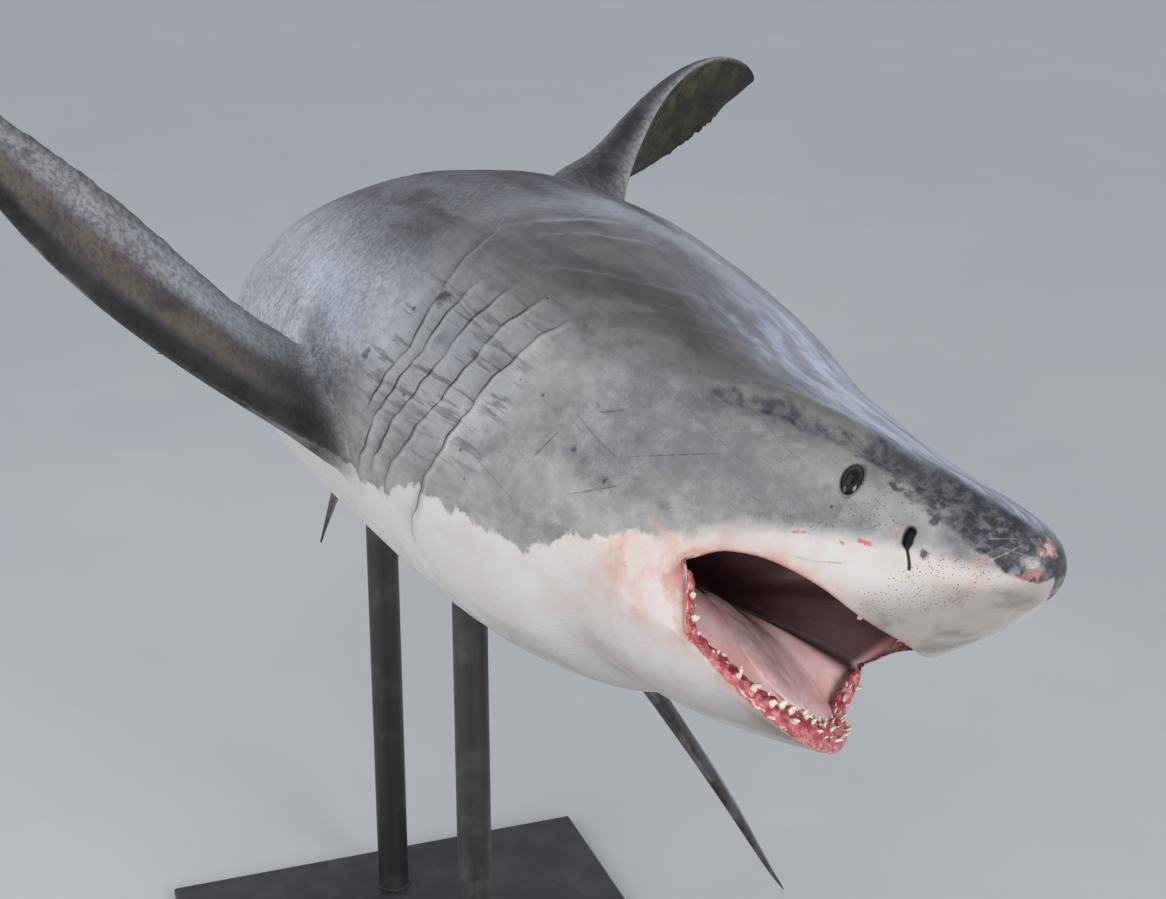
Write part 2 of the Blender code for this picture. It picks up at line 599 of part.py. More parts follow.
# --- display stand -----------------------------------------------------------------------------------------
def build_stand(collection, body_cutter, surface):
    bpy.ops.mesh.primitive_cube_add(size=1.0, location=(0, 0, BASE_SIZE[2] / 2))
    base = bpy.context.object
    base.name = base.data.name = "stand_base"
    base.dimensions = BASE_SIZE
    bpy.ops.object.transform_apply(location=False, rotation=False, scale=True)
    bevel = base.modifiers.new("edges", 'BEVEL')
    bevel.width, bevel.segments = BASE_BEVEL, 2
    rods = []
    for name, s in zip(("stand_rod_front", "stand_rod_rear"), ROD_STATIONS):
        at = spine_frame(s)[0]
        foot = BASE_SIZE[2] + GAP
        bpy.ops.mesh.primitive_cylinder_add(vertices=32, radius=ROD_RADIUS, depth=at[2] - foot,
                                            location=(at[0], at[1], (at[2] + foot) / 2))
        rod = bpy.context.object
        rod.name = rod.data.name = name
        boolean(rod, body_cutter)
        rods.append(rod)
    for piece in (base, *rods):
        for group in piece.users_collection:
            group.objects.unlink(piece)
        collection.objects.link(piece)
        piece.data.materials.clear()
        piece.data.materials.append(surface)
        piece.data.polygons.foreach_set("use_smooth", [True] * len(piece.data.polygons))


def main():
    for old in list(bpy.data.objects):
        bpy.data.objects.remove(old, do_unlink=True)
    shark = bpy.data.collections.new("great_white_shark")
    cutters = bpy.data.collections.new("cutters")
    for group in (shark, cutters):
        bpy.context.scene.collection.children.link(group)

    skin = material("shark_skin", (0.24, 0.25, 0.26), 0.40)
    gum = material("gum_and_teeth", (0.62, 0.27, 0.25), 0.35)
    tongue = material("tongue_flesh", (0.58, 0.36, 0.34), 0.40)
    eye = material("eye_black", (0.010, 0.011, 0.014), 0.08)
    steel = material("stand_steel", (0.05, 0.05, 0.055), 0.45)

    body, palate, floor = build_body(shark, skin)
    clear_of_body = inflated(body, GAP, "clear_of_body", cutters)
    for side, name in ((-1, "eye_right"), (1, "eye_left")):
        centre = lay_along_spine(eye_centre(side))
        build_ball(name, centre, EYE_RADIUS, shark, eye)
        boolean(body, build_ball(name + "_socket", centre, EYE_RADIUS + GAP, cutters, None))
    clear_of_fins = inflated(body, FIN_GAP, "clear_of_fins", cutters)
    for name, fin in FINS.items():
        build_fin(name, fin, shark, clear_of_fins, skin)
    for name, lobe in TAIL_LOBES.items():
        build_tail_lobe(name, lobe, shark, clear_of_body, skin)
    lips = (("gum_upper", palate, -1, TEETH_UPPER), ("gum_lower", floor, 1, TEETH_LOWER))
    for name, sheet, direction, teeth in lips:
        line = gum_line(sheet[0], sheet[2], GUM_REACH)
        up = np.array([0.0, 0.0, float(direction)])
        build_gum(name, line, up, teeth, shark, cutters, clear_of_body, gum)
    build_tongue(shark, clear_of_body, floor, tongue)
    part_body(body, shark, cutters, skin)
    build_stand(shark, clear_of_body, steel)


main()
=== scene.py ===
"""Great white shark, a still life-size museum model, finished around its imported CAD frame."""
import math
import random

import bmesh
import bpy
import numpy as np
from mathutils import Matrix, Vector, kdtree


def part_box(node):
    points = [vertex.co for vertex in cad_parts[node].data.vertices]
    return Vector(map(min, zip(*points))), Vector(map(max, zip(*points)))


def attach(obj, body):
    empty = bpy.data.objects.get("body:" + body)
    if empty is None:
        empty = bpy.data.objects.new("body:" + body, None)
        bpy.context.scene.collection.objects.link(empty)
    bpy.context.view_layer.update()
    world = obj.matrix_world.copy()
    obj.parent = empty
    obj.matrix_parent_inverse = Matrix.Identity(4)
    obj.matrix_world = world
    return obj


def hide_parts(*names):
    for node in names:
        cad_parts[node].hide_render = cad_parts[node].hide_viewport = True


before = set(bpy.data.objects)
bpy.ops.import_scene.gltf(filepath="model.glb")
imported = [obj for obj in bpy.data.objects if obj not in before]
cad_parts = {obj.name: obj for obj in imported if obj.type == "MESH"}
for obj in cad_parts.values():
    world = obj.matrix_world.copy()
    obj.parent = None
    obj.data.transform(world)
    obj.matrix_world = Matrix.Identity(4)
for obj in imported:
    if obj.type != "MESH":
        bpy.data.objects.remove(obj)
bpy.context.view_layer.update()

# --- display stand ------------------------------------------------------------------------------------------
# A flat steel slab with two upright rods that end inside the belly, all sprayed with satin black paint that is
# worn in patches.  The slab's edges are slightly bevelled; each rod stands in a ring of weld beads on the slab.


def feed(node, key, value):
    """Set a node's input, or link it where the value is another node's output socket."""
    if isinstance(value, bpy.types.NodeSocket):
        node.id_data.links.new(value, node.inputs[key])
    else:
        node.inputs[key].default_value = value


def grow(tree, kind, inputs=(), **settings):
    """Add a node to a tree, with its settings and inputs."""
    made = tree.nodes.new(kind)
    for key, value in settings.items():
        setattr(made, key, value)
    for key, value in dict(inputs).items():
        feed(made, key, value)
    return made


def put(tree, kind, inputs=(), **settings):
    """Add a shader node."""
    return grow(tree, "ShaderNode" + kind, inputs, **settings)


def tree_of(*values):
    """The tree of the first output socket among some values."""
    return next(value.id_data for value in values if isinstance(value, bpy.types.NodeSocket))


def mixed(factor, first, second):
    """Colour between two colours by a mask."""
    made = put(tree_of(factor, first, second), "Mix", {0: factor}, data_type='RGBA')
    for key, value in ((6, first), (7, second)):
        feed(made, key, value if isinstance(value, bpy.types.NodeSocket) else (*value, 1.0))
    return made.outputs[2]


def stepped(value, low, high, start=0.0, end=1.0):
    """Smooth ramp of a value from start at low to end at high."""
    return put(tree_of(value), "MapRange", {0: value, 1: low, 2: high, 3: start, 4: end},
               interpolation_type='SMOOTHSTEP').outputs[0]


def bumped(shader, height, strength, distance):
    bump = put(shader.id_data, "Bump", {"Strength": strength, "Distance": distance, "Height": height})
    feed(shader, "Normal", bump.outputs["Normal"])


def shader_of(name):
    """A new material, its node tree and its Principled shader."""
    surface = bpy.data.materials.new(name)
    surface.use_nodes = True
    return surface, surface.node_tree, surface.node_tree.nodes["Principled BSDF"]


def between(mask, low, high):
    """A mask's 0 to 1 turned into low to high."""
    return stepped(mask, 0.0, 1.0, low, high)


def mottle_group():
    """Blotches that every finish here uses: soft noise, stretched by its vector, cut to a mask."""
    group = bpy.data.node_groups.new("mottle", 'ShaderNodeTree')
    group.interface.new_socket("Vector", in_out='INPUT', socket_type='NodeSocketVector')
    for name in ("Scale", "Detail", "Low", "High"):
        group.interface.new_socket(name, in_out='INPUT', socket_type='NodeSocketFloat')
    group.interface.new_socket("Mask", in_out='OUTPUT', socket_type='NodeSocketFloat')
    given, result = group.nodes.new("NodeGroupInput"), group.nodes.new("NodeGroupOutput")
    noise = put(group, "TexNoise", {"Vector": given.outputs["Vector"], "Scale": given.outputs["Scale"],
                                    "Detail": given.outputs["Detail"], "Roughness": 0.6})
    mask = stepped(noise.outputs["Fac"], given.outputs["Low"], given.outputs["High"])
    group.links.new(mask, result.inputs["Mask"])
    return group


MOTTLE = mottle_group()


def mottle(vector, scale, low=0.4, high=0.6, detail=4.0):
    values = {"Vector": vector, "Scale": scale, "Detail": detail, "Low": low, "High": high}
    return put(tree_of(vector), "Group", values, node_tree=MOTTLE).outputs["Mask"]


STEEL_PAINT, STEEL_WORN, STEEL_ROUGHNESS = (0.018, 0.019, 0.021), (0.060, 0.062, 0.066), (0.42, 0.58)
WELD_RADIUS, WELD_BEADS = 0.0035, 44


def stand_paint():
    surface, tree, shader = shader_of("stand_paint")
    place = put(tree, "TexCoord").outputs["Object"]
    dust = mottle(place, 9.0, 0.45, 0.75)
    orange_peel = put(tree, "TexNoise", {"Vector": place, "Scale": 420.0, "Detail": 2.0}).outputs["Fac"]
    feed(shader, "Base Color", mixed(dust, STEEL_PAINT, STEEL_WORN))
    feed(shader, "Roughness", between(dust, *STEEL_ROUGHNESS))
    bumped(shader, orange_peel, 0.25, 0.0006)
    return surface


paint = stand_paint()
for name in ("stand_base", "stand_rod_front", "stand_rod_rear"):
    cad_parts[name].data.materials.clear()
    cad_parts[name].data.materials.append(paint)


def placed(name, data):
    """A new object of some data, in the scene."""
    made = bpy.data.objects.new(name, data)
    bpy.context.scene.collection.objects.link(made)
    return made


def smooth(mesh):
    mesh.polygons.foreach_set("use_smooth", [True] * len(mesh.polygons))


def socket_of(tree, name):
    return next(item.identifier for item in tree.interface.items_tree
                if item.item_type == 'SOCKET' and item.in_out == 'INPUT' and item.name == name)


def baked(maker, name):
    """Turn a Geometry Nodes object into a plain mesh object of the same place."""
    mesh = bpy.data.meshes.new_from_object(maker.evaluated_get(bpy.context.evaluated_depsgraph_get()))
    bpy.data.objects.remove(maker, do_unlink=True)
    return placed(name, mesh)


def geometry_tree(name, inputs, material):
    """An empty Geometry Nodes tree with named inputs, ending in Realize Instances and Set Material."""
    tree = bpy.data.node_groups.new(name, 'GeometryNodeTree')
    tree.interface.new_socket("Geometry", in_out='INPUT', socket_type='NodeSocketGeometry')
    tree.interface.new_socket("Geometry", in_out='OUTPUT', socket_type='NodeSocketGeometry')
    for label, kind in inputs:
        tree.interface.new_socket(label, in_out='INPUT', socket_type='NodeSocket' + kind)
    given, result = tree.nodes.new("NodeGroupInput"), tree.nodes.new("NodeGroupOutput")
    real, painted = tree.nodes.new("GeometryNodeRealizeInstances"), tree.nodes.new("GeometryNodeSetMaterial")
    painted.inputs["Material"].default_value = material
    tree.links.new(real.outputs[0], painted.inputs["Geometry"])
    tree.links.new(painted.outputs[0], result.inputs[0])
    return tree, given, real.inputs[0]


def with_nodes(name, mesh, tree, values):
    """An object whose mesh feeds a Geometry Nodes tree, with that tree's inputs set by name."""
    maker = placed(name + "_maker", mesh)
    modifier = maker.modifiers.new(name, 'NODES')
    modifier.node_group = tree
    for label, value in values.items():
        modifier[socket_of(tree, label)] = value
    return baked(maker, name)


def weld(rod):
    """Overlapping beads in a ring round a rod's foot."""
    low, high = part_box(rod)
    tree, given, end = geometry_tree("weld_beads", (("Ring", 'Float'), ("Bead", 'Float'), ("Beads", 'Int')), paint)
    ring = grow(tree, "GeometryNodeMeshCircle", {"Vertices": given.outputs["Beads"],
                                                 "Radius": given.outputs["Ring"]})
    bead = grow(tree, "GeometryNodeMeshIcoSphere", {"Radius": given.outputs["Bead"], "Subdivisions": 2})
    beads = grow(tree, "GeometryNodeInstanceOnPoints", {"Points": ring.outputs[0], "Instance": bead.outputs[0]})
    tree.links.new(beads.outputs[0], end)
    values = {"Ring": (high.x - low.x) / 2, "Bead": WELD_RADIUS, "Beads": WELD_BEADS}
    piece = with_nodes(rod.replace("rod", "weld"), bpy.data.meshes.new("foot"), tree, values)
    centre = ((low.x + high.x) / 2, (low.y + high.y) / 2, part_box("stand_base")[1].z)
    piece.data.transform(Matrix.Translation(centre))
    smooth(piece.data)
    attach(piece, "root")


weld("stand_rod_front")
weld("stand_rod_rear")


# --- skin ---------------------------------------------------------------------------------------------------
# The whole hide in one piece, from the snout over jaws, trunk and tail to the tips of the fins: wet, firm skin,
# slate grey above and white below.  It is lofted straight, with s the distance behind the snout tip and theta
# the angle round from the belly, folded and creased, and then laid along the bent spine.
STATIONS = np.array([
    (0.000, 0.000, 0.000, 0.000, 0.142), (0.034, 0.067, 0.056, 0.045, 0.130), (0.100, 0.122, 0.101, 0.078, 0.102),
    (0.175, 0.161, 0.139, 0.109, 0.072), (0.260, 0.202, 0.183, 0.147, 0.044), (0.360, 0.243, 0.230, 0.190, 0.017),
    (0.480, 0.283, 0.280, 0.235, 0.000), (0.620, 0.321, 0.331, 0.272, 0.000), (0.780, 0.346, 0.368, 0.290, 0.000),
    (0.980, 0.352, 0.393, 0.285, 0.000), (1.280, 0.345, 0.408, 0.278, 0.000), (1.600, 0.328, 0.389, 0.275, 0.000),
    (1.930, 0.288, 0.342, 0.255, 0.000), (2.270, 0.236, 0.283, 0.215, 0.000), (2.600, 0.182, 0.218, 0.168, 0.000),
    (2.920, 0.132, 0.153, 0.118, 0.000), (3.160, 0.098, 0.107, 0.082, 0.000), (3.420, 0.112, 0.079, 0.063, 0.000),
    (3.600, 0.030, 0.035, 0.030, 0.000)])    # s, half width, height above, depth below, rise of the axis
SQUARENESS = 2.15
REFERENCE, REFERENCE_PLACE = 1.40, (0.0, 0.0, 1.36)
TRUNK_PITCH, TRUNK_ROLL = 10.0, -43.8
NECK_SPAN, HEAD_YAW, HEAD_PITCH, HEAD_ROLL = (0.42, 1.35), 22.2, 4.4, 7.7
TAIL_SPAN, TAIL_YAW, TAIL_PITCH = (1.70, 3.60), 34.0, 2.0
MOUTH_FRONT, MOUTH_LENGTH, MOUTH_BEND, MOUTH_SHARE = 0.1635, 0.196, 1.80, 41 / 110
JAW_HINGE, GAPE, JAW_SHIFT = (-0.443, 0.0, -0.030), 27.5, (-0.018, 0.0, -0.047)
THROAT_SPAN = (0.36, 0.64)
PHARYNX, PHARYNX_HALF_WIDTH, PALATE_RISE, FLOOR_DROP = (-0.56, -0.085), 0.07, 0.065, -0.034
EYE_STATION, EYE_ANGLE = 0.226, 114.5


def smoothstep(value):
    t = np.clip(value, 0.0, 1.0)
    return t * t * (3.0 - 2.0 * t)


def hump(distance, width):
    return np.exp(-(np.asarray(distance) / width)**2)


def through(x, knots, values):
    """Monotone cubic curve through (knots, values)."""
    knots, values = np.asarray(knots, float), np.asarray(values, float)
    step = np.diff(knots)
    slope = np.diff(values) / step
    tangent = np.zeros_like(values)
    tangent[0], tangent[-1] = slope[0], slope[-1]
    w1, w2 = 2 * step[1:] + step[:-1], step[1:] + 2 * step[:-1]
    rising = slope[:-1] * slope[1:] > 0
    before, after = np.where(rising, slope[:-1], 1.0), np.where(rising, slope[1:], 1.0)
    tangent[1:-1] = np.where(rising, (w1 + w2) / (w1 / before + w2 / after), 0.0)
    x = np.clip(x, knots[0], knots[-1])
    i = np.clip(np.searchsorted(knots, x) - 1, 0, len(step) - 1)
    h, t = step[i], (x - knots[i]) / step[i]
    return ((2 * t**3 - 3 * t**2 + 1) * values[i] + (t**3 - 2 * t**2 + t) * h * tangent[i]
            + (3 * t**2 - 2 * t**3) * values[i + 1] + (t**3 - t**2) * h * tangent[i + 1])


def turn(axis, degrees):
    return np.array(Matrix.Rotation(math.radians(degrees), 3, axis))


def girth_at(s):
    """Half width, height above, depth below and rise of the body's axis at station s."""
    root = np.sqrt(np.clip(s, 0, None))
    return (through(root, np.sqrt(STATIONS[:, 0]), STATIONS[:, k]) for k in (1, 2, 3, 4))


def skin_point(s, theta):
    s, theta = np.broadcast_arrays(s, theta)
    width, top, bottom, centre = girth_at(s)
    across, up = np.sin(np.radians(theta)), -np.cos(np.radians(theta))
    swell = (np.abs(across)**SQUARENESS + np.abs(up)**SQUARENESS)**(-1 / SQUARENESS)
    height = np.where(up < 0, bottom, top)
    return np.stack([-s, width * swell * across, centre + height * swell * up], -1)


def skin_normal(s, theta):
    """Outward unit normal of the smooth body."""
    step, s = 0.002, np.maximum(s, 0.004)
    along = skin_point(s + step, theta) - skin_point(s - step, theta)
    around = skin_point(s, theta + 0.5) - skin_point(s, theta - 0.5)
    normal = np.cross(along, around)
    return normal / np.linalg.norm(normal, axis=-1)[..., None]


def build_spine(count=401, start=-0.05, end=4.15):
    stations = np.linspace(start, end, count)
    step = stations[1] - stations[0]
    middle = int(np.argmin(np.abs(stations - REFERENCE)))
    places, frames = np.zeros((count, 3)), np.zeros((count, 3, 3))
    frames[middle] = turn('Z', -90) @ turn('Y', -TRUNK_PITCH) @ turn('X', TRUNK_ROLL)
    places[middle] = np.array(REFERENCE_PLACE)

    def share(s, span):
        t = np.clip((s - span[0]) / (span[1] - span[0]), 0, 1)
        return (1 - math.cos(2 * math.pi * t)) / (span[1] - span[0])

    def bend(s, distance):
        neck, tail = share(s, NECK_SPAN) * distance, share(s, TAIL_SPAN) * distance
        yaw, pitch = HEAD_YAW * neck + TAIL_YAW * tail, HEAD_PITCH * neck + TAIL_PITCH * tail
        return turn('Z', yaw) @ turn('Y', -pitch) @ turn('X', HEAD_ROLL * neck)

    for direction in (-1, 1):
        i = middle
        while 0 <= i + direction < count:
            j = i + direction
            frames[j] = frames[i] @ bend((stations[i] + stations[j]) / 2, -direction * step)
            forward = frames[i][:, 0] + frames[j][:, 0]
            places[j] = places[i] - direction * step * forward / np.linalg.norm(forward)
            i = j
    return stations, places, frames


SPINE = build_spine()


def spine_frame(s):
    stations, places, frames = SPINE
    k = np.clip((np.asarray(s, float) - stations[0]) / (stations[1] - stations[0]), 0, len(stations) - 1.001)
    i = k.astype(int)
    t = (k - i)[..., None]
    return places[i] * (1 - t) + places[i + 1] * t, frames[i] * (1 - t[..., None]) + frames[i + 1] * t[..., None]


def lay_along_spine(points):
    """Bend straight points along the spine, each with its own station's frame."""
    place, axes = spine_frame(-points[..., 0])
    return place + np.einsum('...ij,...j->...i', axes, points * np.array([0.0, 1.0, 1.0]))


def carry(points, s):
    """Move points rigidly with the spine's frame at station s."""
    place, axes = spine_frame(s)
    return place + (points + np.array([s, 0.0, 0.0])) @ axes.T


# mouth: the lips run round the snout's underside; the opened jaw swings down and slides forward
def mouth_line(share):
    return (MOUTH_FRONT + MOUTH_LENGTH * share**MOUTH_BEND,
            180.0 * MOUTH_SHARE * np.sin(np.radians(90.0 * share)))


def jaw_map(weight):
    """Matrix and offset that carry a closed-mouth point to its place, for each weight."""
    swing, hinge = turn('Y', GAPE), np.array(JAW_HINGE)
    offset = hinge + np.array(JAW_SHIFT) - swing @ hinge
    weight = np.asarray(weight)[..., None]
    return np.eye(3) * (1 - weight[..., None]) + swing * weight[..., None], offset * weight


def open_jaw(points, weight):
    matrix, offset = jaw_map(weight)
    return np.einsum('...ij,...j->...i', matrix, points) + offset


def close_jaw(points, weight):
    matrix, offset = jaw_map(weight)
    return np.linalg.solve(matrix, (points - offset)[..., None])[..., 0]


LIP_RAISE = ((0.0, 0.0), (0.20, 3.2), (0.44, 7.9), (0.72, 6.9), (0.88, 6.1), (0.96, 2.3), (1.0, 0.0))
CORNER_REACH, LIP_GIVE, CORNER_GIVE, CORNER_SHIFT, CORNER_SPREAD = 0.055, 45.0, 0.157, 0.254, 0.166


def corner_weight(s, angle):
    """How far the skin round the mouth's corner gives with the jaw."""
    corner_s, corner_angle = mouth_line(np.array(1.0))
    away = np.hypot(s - corner_s, np.radians(angle - corner_angle) * 0.19)
    return CORNER_GIVE * np.exp(-(away / CORNER_REACH)**2)


def jaw_weight(column, s):
    along = 1 - smoothstep((s - THROAT_SPAN[0]) / (THROAT_SPAN[1] - THROAT_SPAN[0]))
    spread = MOUTH_SHARE * (CORNER_SPREAD + 0.36 * smoothstep((s - THROAT_SPAN[0]) / 0.2))
    return along * (1 - smoothstep((column - MOUTH_SHARE + spread) / (2 * spread) + CORNER_SHIFT))


def lip_edge(share, lower):
    """Closed-mouth station and angle of a lip's edge and how far it follows the jaw, front 0 to corner 1."""
    s, angle = mouth_line(share)
    if lower:
        return s, angle, jaw_weight(share * MOUTH_SHARE, s)
    angle = angle + through(share, *zip(*LIP_RAISE))
    return s, angle, corner_weight(s, angle)


# gill slits: station at mid height, how far each slit's foot and top end lie behind that, and its span in angle
GILLS = ((0.722, 0.070, -0.040, 34.0, 116.0), (0.768, 0.100, -0.025, 44.0, 118.0),
         (0.815, 0.090, -0.017, 48.0, 116.0), (0.856, 0.080, 0.003, 38.0, 113.0),
         (0.885, 0.084, 0.040, 62.0, 122.0))
GILL_SPAN = (0.58, 1.08)


def gill_shift(s, angle):
    """How far a row of the grid leaves its own station to run along the gill slits."""
    low = np.clip((90 - angle) / 40, 0, 1.5)**1.4
    high = np.clip((angle - 90) / 25, 0, 2.2)**1.2
    marks = [GILL_SPAN[0]] + [gill[0] for gill in GILLS] + [GILL_SPAN[1]]
    foot = np.interp(s, marks, [0.0] + [gill[1] for gill in GILLS] + [0.0])
    top = np.interp(s, marks, [0.0] + [gill[2] for gill in GILLS] + [0.0])
    wave = 0.0021 * np.sin(0.40 * angle + 30 * s) + 0.0012 * np.sin(0.93 * angle + 55 * s)
    return foot * low + top * high + wave * np.interp(s, marks, [0.0] + [1.0] * len(GILLS) + [0.0])


HALF_COLUMNS, SNOUT_ROWS, THROAT_ROWS, GILL_ROWS, TRUNK_ROWS, POCKET_ROWS = 110, 54, 42, 44, 87, 26


def body_grid():
    """Rows of the left half as (x, y, z, jaw weight, lining share), with the mouth closed."""
    column = np.linspace(0, 1, HALF_COLUMNS + 1)
    share = np.minimum(column / MOUTH_SHARE, 1)
    lip_s, lip_angle = mouth_line(share)
    lip_angle = np.where(column > MOUTH_SHARE, 180 * column, lip_angle)

    def rows(s, angle, weight):
        s, angle, weight = np.broadcast_arrays(s, angle, weight)
        return np.concatenate([skin_point(s, angle), np.stack([weight, 0 * weight], -1)], -1)

    own_raise = through(share, *zip(*LIP_RAISE))
    share = np.linspace(0, 1, SNOUT_ROWS - 2)
    part = 0.5 * share**1.5 + 0.5 * (1 - (1 - share)**1.5)
    part = np.concatenate([part[:-1], [0.990, 0.996], [1.0]])[:, None]
    angle, stations = 180 * column * (1 - part) + lip_angle * part, lip_s * part
    lip_share = np.clip((stations - MOUTH_FRONT) / MOUTH_LENGTH, 0, 1)**(1 / MOUTH_BEND)
    above_lip = np.clip(1 - (angle - mouth_line(lip_share)[1]) / LIP_GIVE, 0, 1)
    nearby = smoothstep((stations - 0.21) / 0.06)
    angle = angle + nearby * through(lip_share, *zip(*LIP_RAISE)) * above_lip + (1 - nearby) * own_raise * part
    front = rows(stations, angle, corner_weight(stations, angle))

    part = np.concatenate([[0.0, 0.004, 0.010], np.linspace(0, 1, THROAT_ROWS - 1)[1:]**1.2])[:, None]
    stations = lip_s + (GILL_SPAN[0] - lip_s) * part
    angle = lip_angle * (1 - part) + 180 * column * part
    above = np.where(column > MOUTH_SHARE, corner_weight(stations, angle), 0.0)
    throat = rows(stations, angle, np.maximum(jaw_weight(column, stations), above))

    fine = np.array([-0.010, -0.005, -0.0022, -0.0007, 0.0007, 0.0025, 0.006, 0.011])
    near = np.concatenate([gill[0] + fine for gill in GILLS])
    even = np.linspace(*GILL_SPAN, GILL_ROWS + 1)[1:]
    even = even[np.abs(even[:, None] - near).min(axis=1) > 0.004]
    stations = np.sort(np.concatenate([near, even]))[:, None]
    angle = 180 * column
    stations = stations + gill_shift(stations, angle)
    gills = rows(stations, angle, jaw_weight(column, stations))

    share = np.linspace(0, 1, TRUNK_ROWS + 1)[1:, None]
    stations = GILL_SPAN[1] + (STATIONS[-1, 0] - GILL_SPAN[1]) * (0.75 * share + 0.25 * share**2)
    trunk = rows(stations, angle, 0.0)
    return front, np.concatenate([throat, gills, trunk])


def mouth_pocket(upper_lip, lower_lip):
    """Lining of the mouth: palate and floor, from the lips back to the throat (left half)."""
    share = np.linspace(0, 1, len(upper_lip))[None, :, None]
    part = (np.linspace(0, 1, POCKET_ROWS + 1)**1.4)[:, None, None]
    back = np.stack([np.full(len(upper_lip), PHARYNX[0]), PHARYNX_HALF_WIDTH * share[0, :, 0],
                     np.full(len(upper_lip), PHARYNX[1])], -1)[None]
    up = np.array([0.0, 0.0, 1.0])
    arch = (1 - share**4) * np.sin(math.pi * np.sqrt(part))
    sag = (1 - share**4) * np.sin(math.pi * part)
    sheets = []
    for lip, swell in ((upper_lip, PALATE_RISE * arch), (lower_lip, -FLOOR_DROP * sag)):
        place = open_jaw(lip[:, :3], lip[:, 3])[None] * (1 - part) + back * part + up * swell
        weight = lip[None, :, 3] * (1 - part[..., 0])
        lining = np.broadcast_to(part[..., 0], weight.shape)
        sheets.append(np.concatenate([close_jaw(place, weight), np.stack([weight, lining], -1)], -1))
    return sheets


def woven_body():
    """One closed mesh of the body, split at the lips, with the mouth's lining; jaw weight and lining as layers."""
    front, rear = body_grid()
    lips = round(HALF_COLUMNS * MOUTH_SHARE)
    palate, floor = mouth_pocket(front[-1, :lips + 1], rear[0, :lips + 1])
    tool = bmesh.new()
    jaw, lining = (tool.verts.layers.float.new(name) for name in ("jaw", "lining"))
    index = {}

    def vertex(record, side, key):
        across = 0.0 if abs(record[1]) < 1e-6 else side * record[1]
        label = (key, 0 if across == 0.0 else side)
        if label not in index:
            vert = tool.verts.new((record[0], across, record[2]))
            vert[jaw], vert[lining] = record[3], record[4]
            index[label] = vert
        return index[label]

    def front_key(r, c):
        if r == 0:
            return 'tip'
        return ('front', r, c) if r < len(front) - 1 or c < lips else ('rear', 0, c)

    def pocket_key(layer, k, c):
        if k == 0:
            return front_key(len(front) - 1, c) if layer == 'palate' else ('rear', 0, c)
        return ('pocket', k, c) if c == lips or k == POCKET_ROWS else (layer, k, c)

    def weave(grid, key):
        for side in (-1, 1):
            for r in range(grid.shape[0] - 1):
                for c in range(grid.shape[1] - 1):
                    face = []
                    for a, b in ((r, c), (r, c + 1), (r + 1, c + 1), (r + 1, c)):
                        found = vertex(grid[a, b], side, key(a, b))
                        if found not in face:
                            face.append(found)
                    tool.faces.new(face if side > 0 else face[::-1])

    rear[0, lips:] = front[-1, lips:]
    floor[:, lips], floor[-1] = palate[:, lips], palate[-1]
    weave(front, front_key)
    weave(rear, lambda r, c: ('rear', r, c))
    weave(palate, lambda k, c: pocket_key('palate', k, c))
    weave(floor, lambda k, c: pocket_key('floor', k, c))
    around = [(1, c) for c in range(HALF_COLUMNS + 1)] + [(-1, c) for c in range(HALF_COLUMNS - 1, 0, -1)]
    tool.faces.new([vertex(rear[-1, c], side, ('rear', len(rear) - 1, c)) for side, c in around])
    bmesh.ops.recalc_face_normals(tool, faces=tool.faces)
    return tool


def straight_angle(points):
    """Angle round from the belly line of each straight point, as skin_point takes it."""
    width, top, bottom, centre = girth_at(-points[:, 0])
    across, up = points[:, 1], points[:, 2] - centre
    return np.degrees(np.arctan2(across / np.maximum(width, 1e-5),
                                 -up / np.maximum(np.where(up < 0, bottom, top), 1e-5)))


def refined(tool, spots):
    """Split the faces round each spot (centre, radius) once, so that small organs get a finer grid."""
    for centre, radius in spots:
        centre = Vector(centre)
        edges = {edge for face in tool.faces if (face.calc_center_median() - centre).length < radius
                 for edge in face.edges}
        bmesh.ops.subdivide_edges(tool, edges=sorted(edges, key=lambda edge: edge.index), cuts=1, use_grid_fill=True)
        tool.edges.index_update()


# eyes and nostrils: the eye's opening leans back at its top; the nostril is a comma with a thin tail
EYE_HALF_HEIGHT, EYE_HALF_LENGTH, EYE_LEAN, LID_LIFT, SOCKET_DEPTH = 0.0232, 0.0128, -19.0, 0.0004, 0.014
EYE_BALL, EYE_SINK = (0.0262, 0.0168, 0.0200), 0.0112
NOSTRIL_FROM, NOSTRIL_TO, NOSTRIL_WIDTH, NOSTRIL_TAIL = (0.118, 63.0), (0.130, 94.0), 0.0074, 0.0021
NOSTRIL_DEPTH, REFINE_REACH = 0.015, 0.048


def eye_axes(side):
    """Centre of the eye's opening on the skin, with its outward, upward and forward axes (straight frame)."""
    centre, out = skin_point(EYE_STATION, side * EYE_ANGLE), skin_normal(np.array(EYE_STATION), side * EYE_ANGLE)
    ahead = np.array([1.0, 0.0, 0.0]) - out[0] * out
    ahead /= np.linalg.norm(ahead)
    above = np.cross(ahead, out) * side
    lean = math.radians(EYE_LEAN)
    return (centre, out, above * math.cos(lean) + ahead * math.sin(lean),
            ahead * math.cos(lean) - above * math.sin(lean))


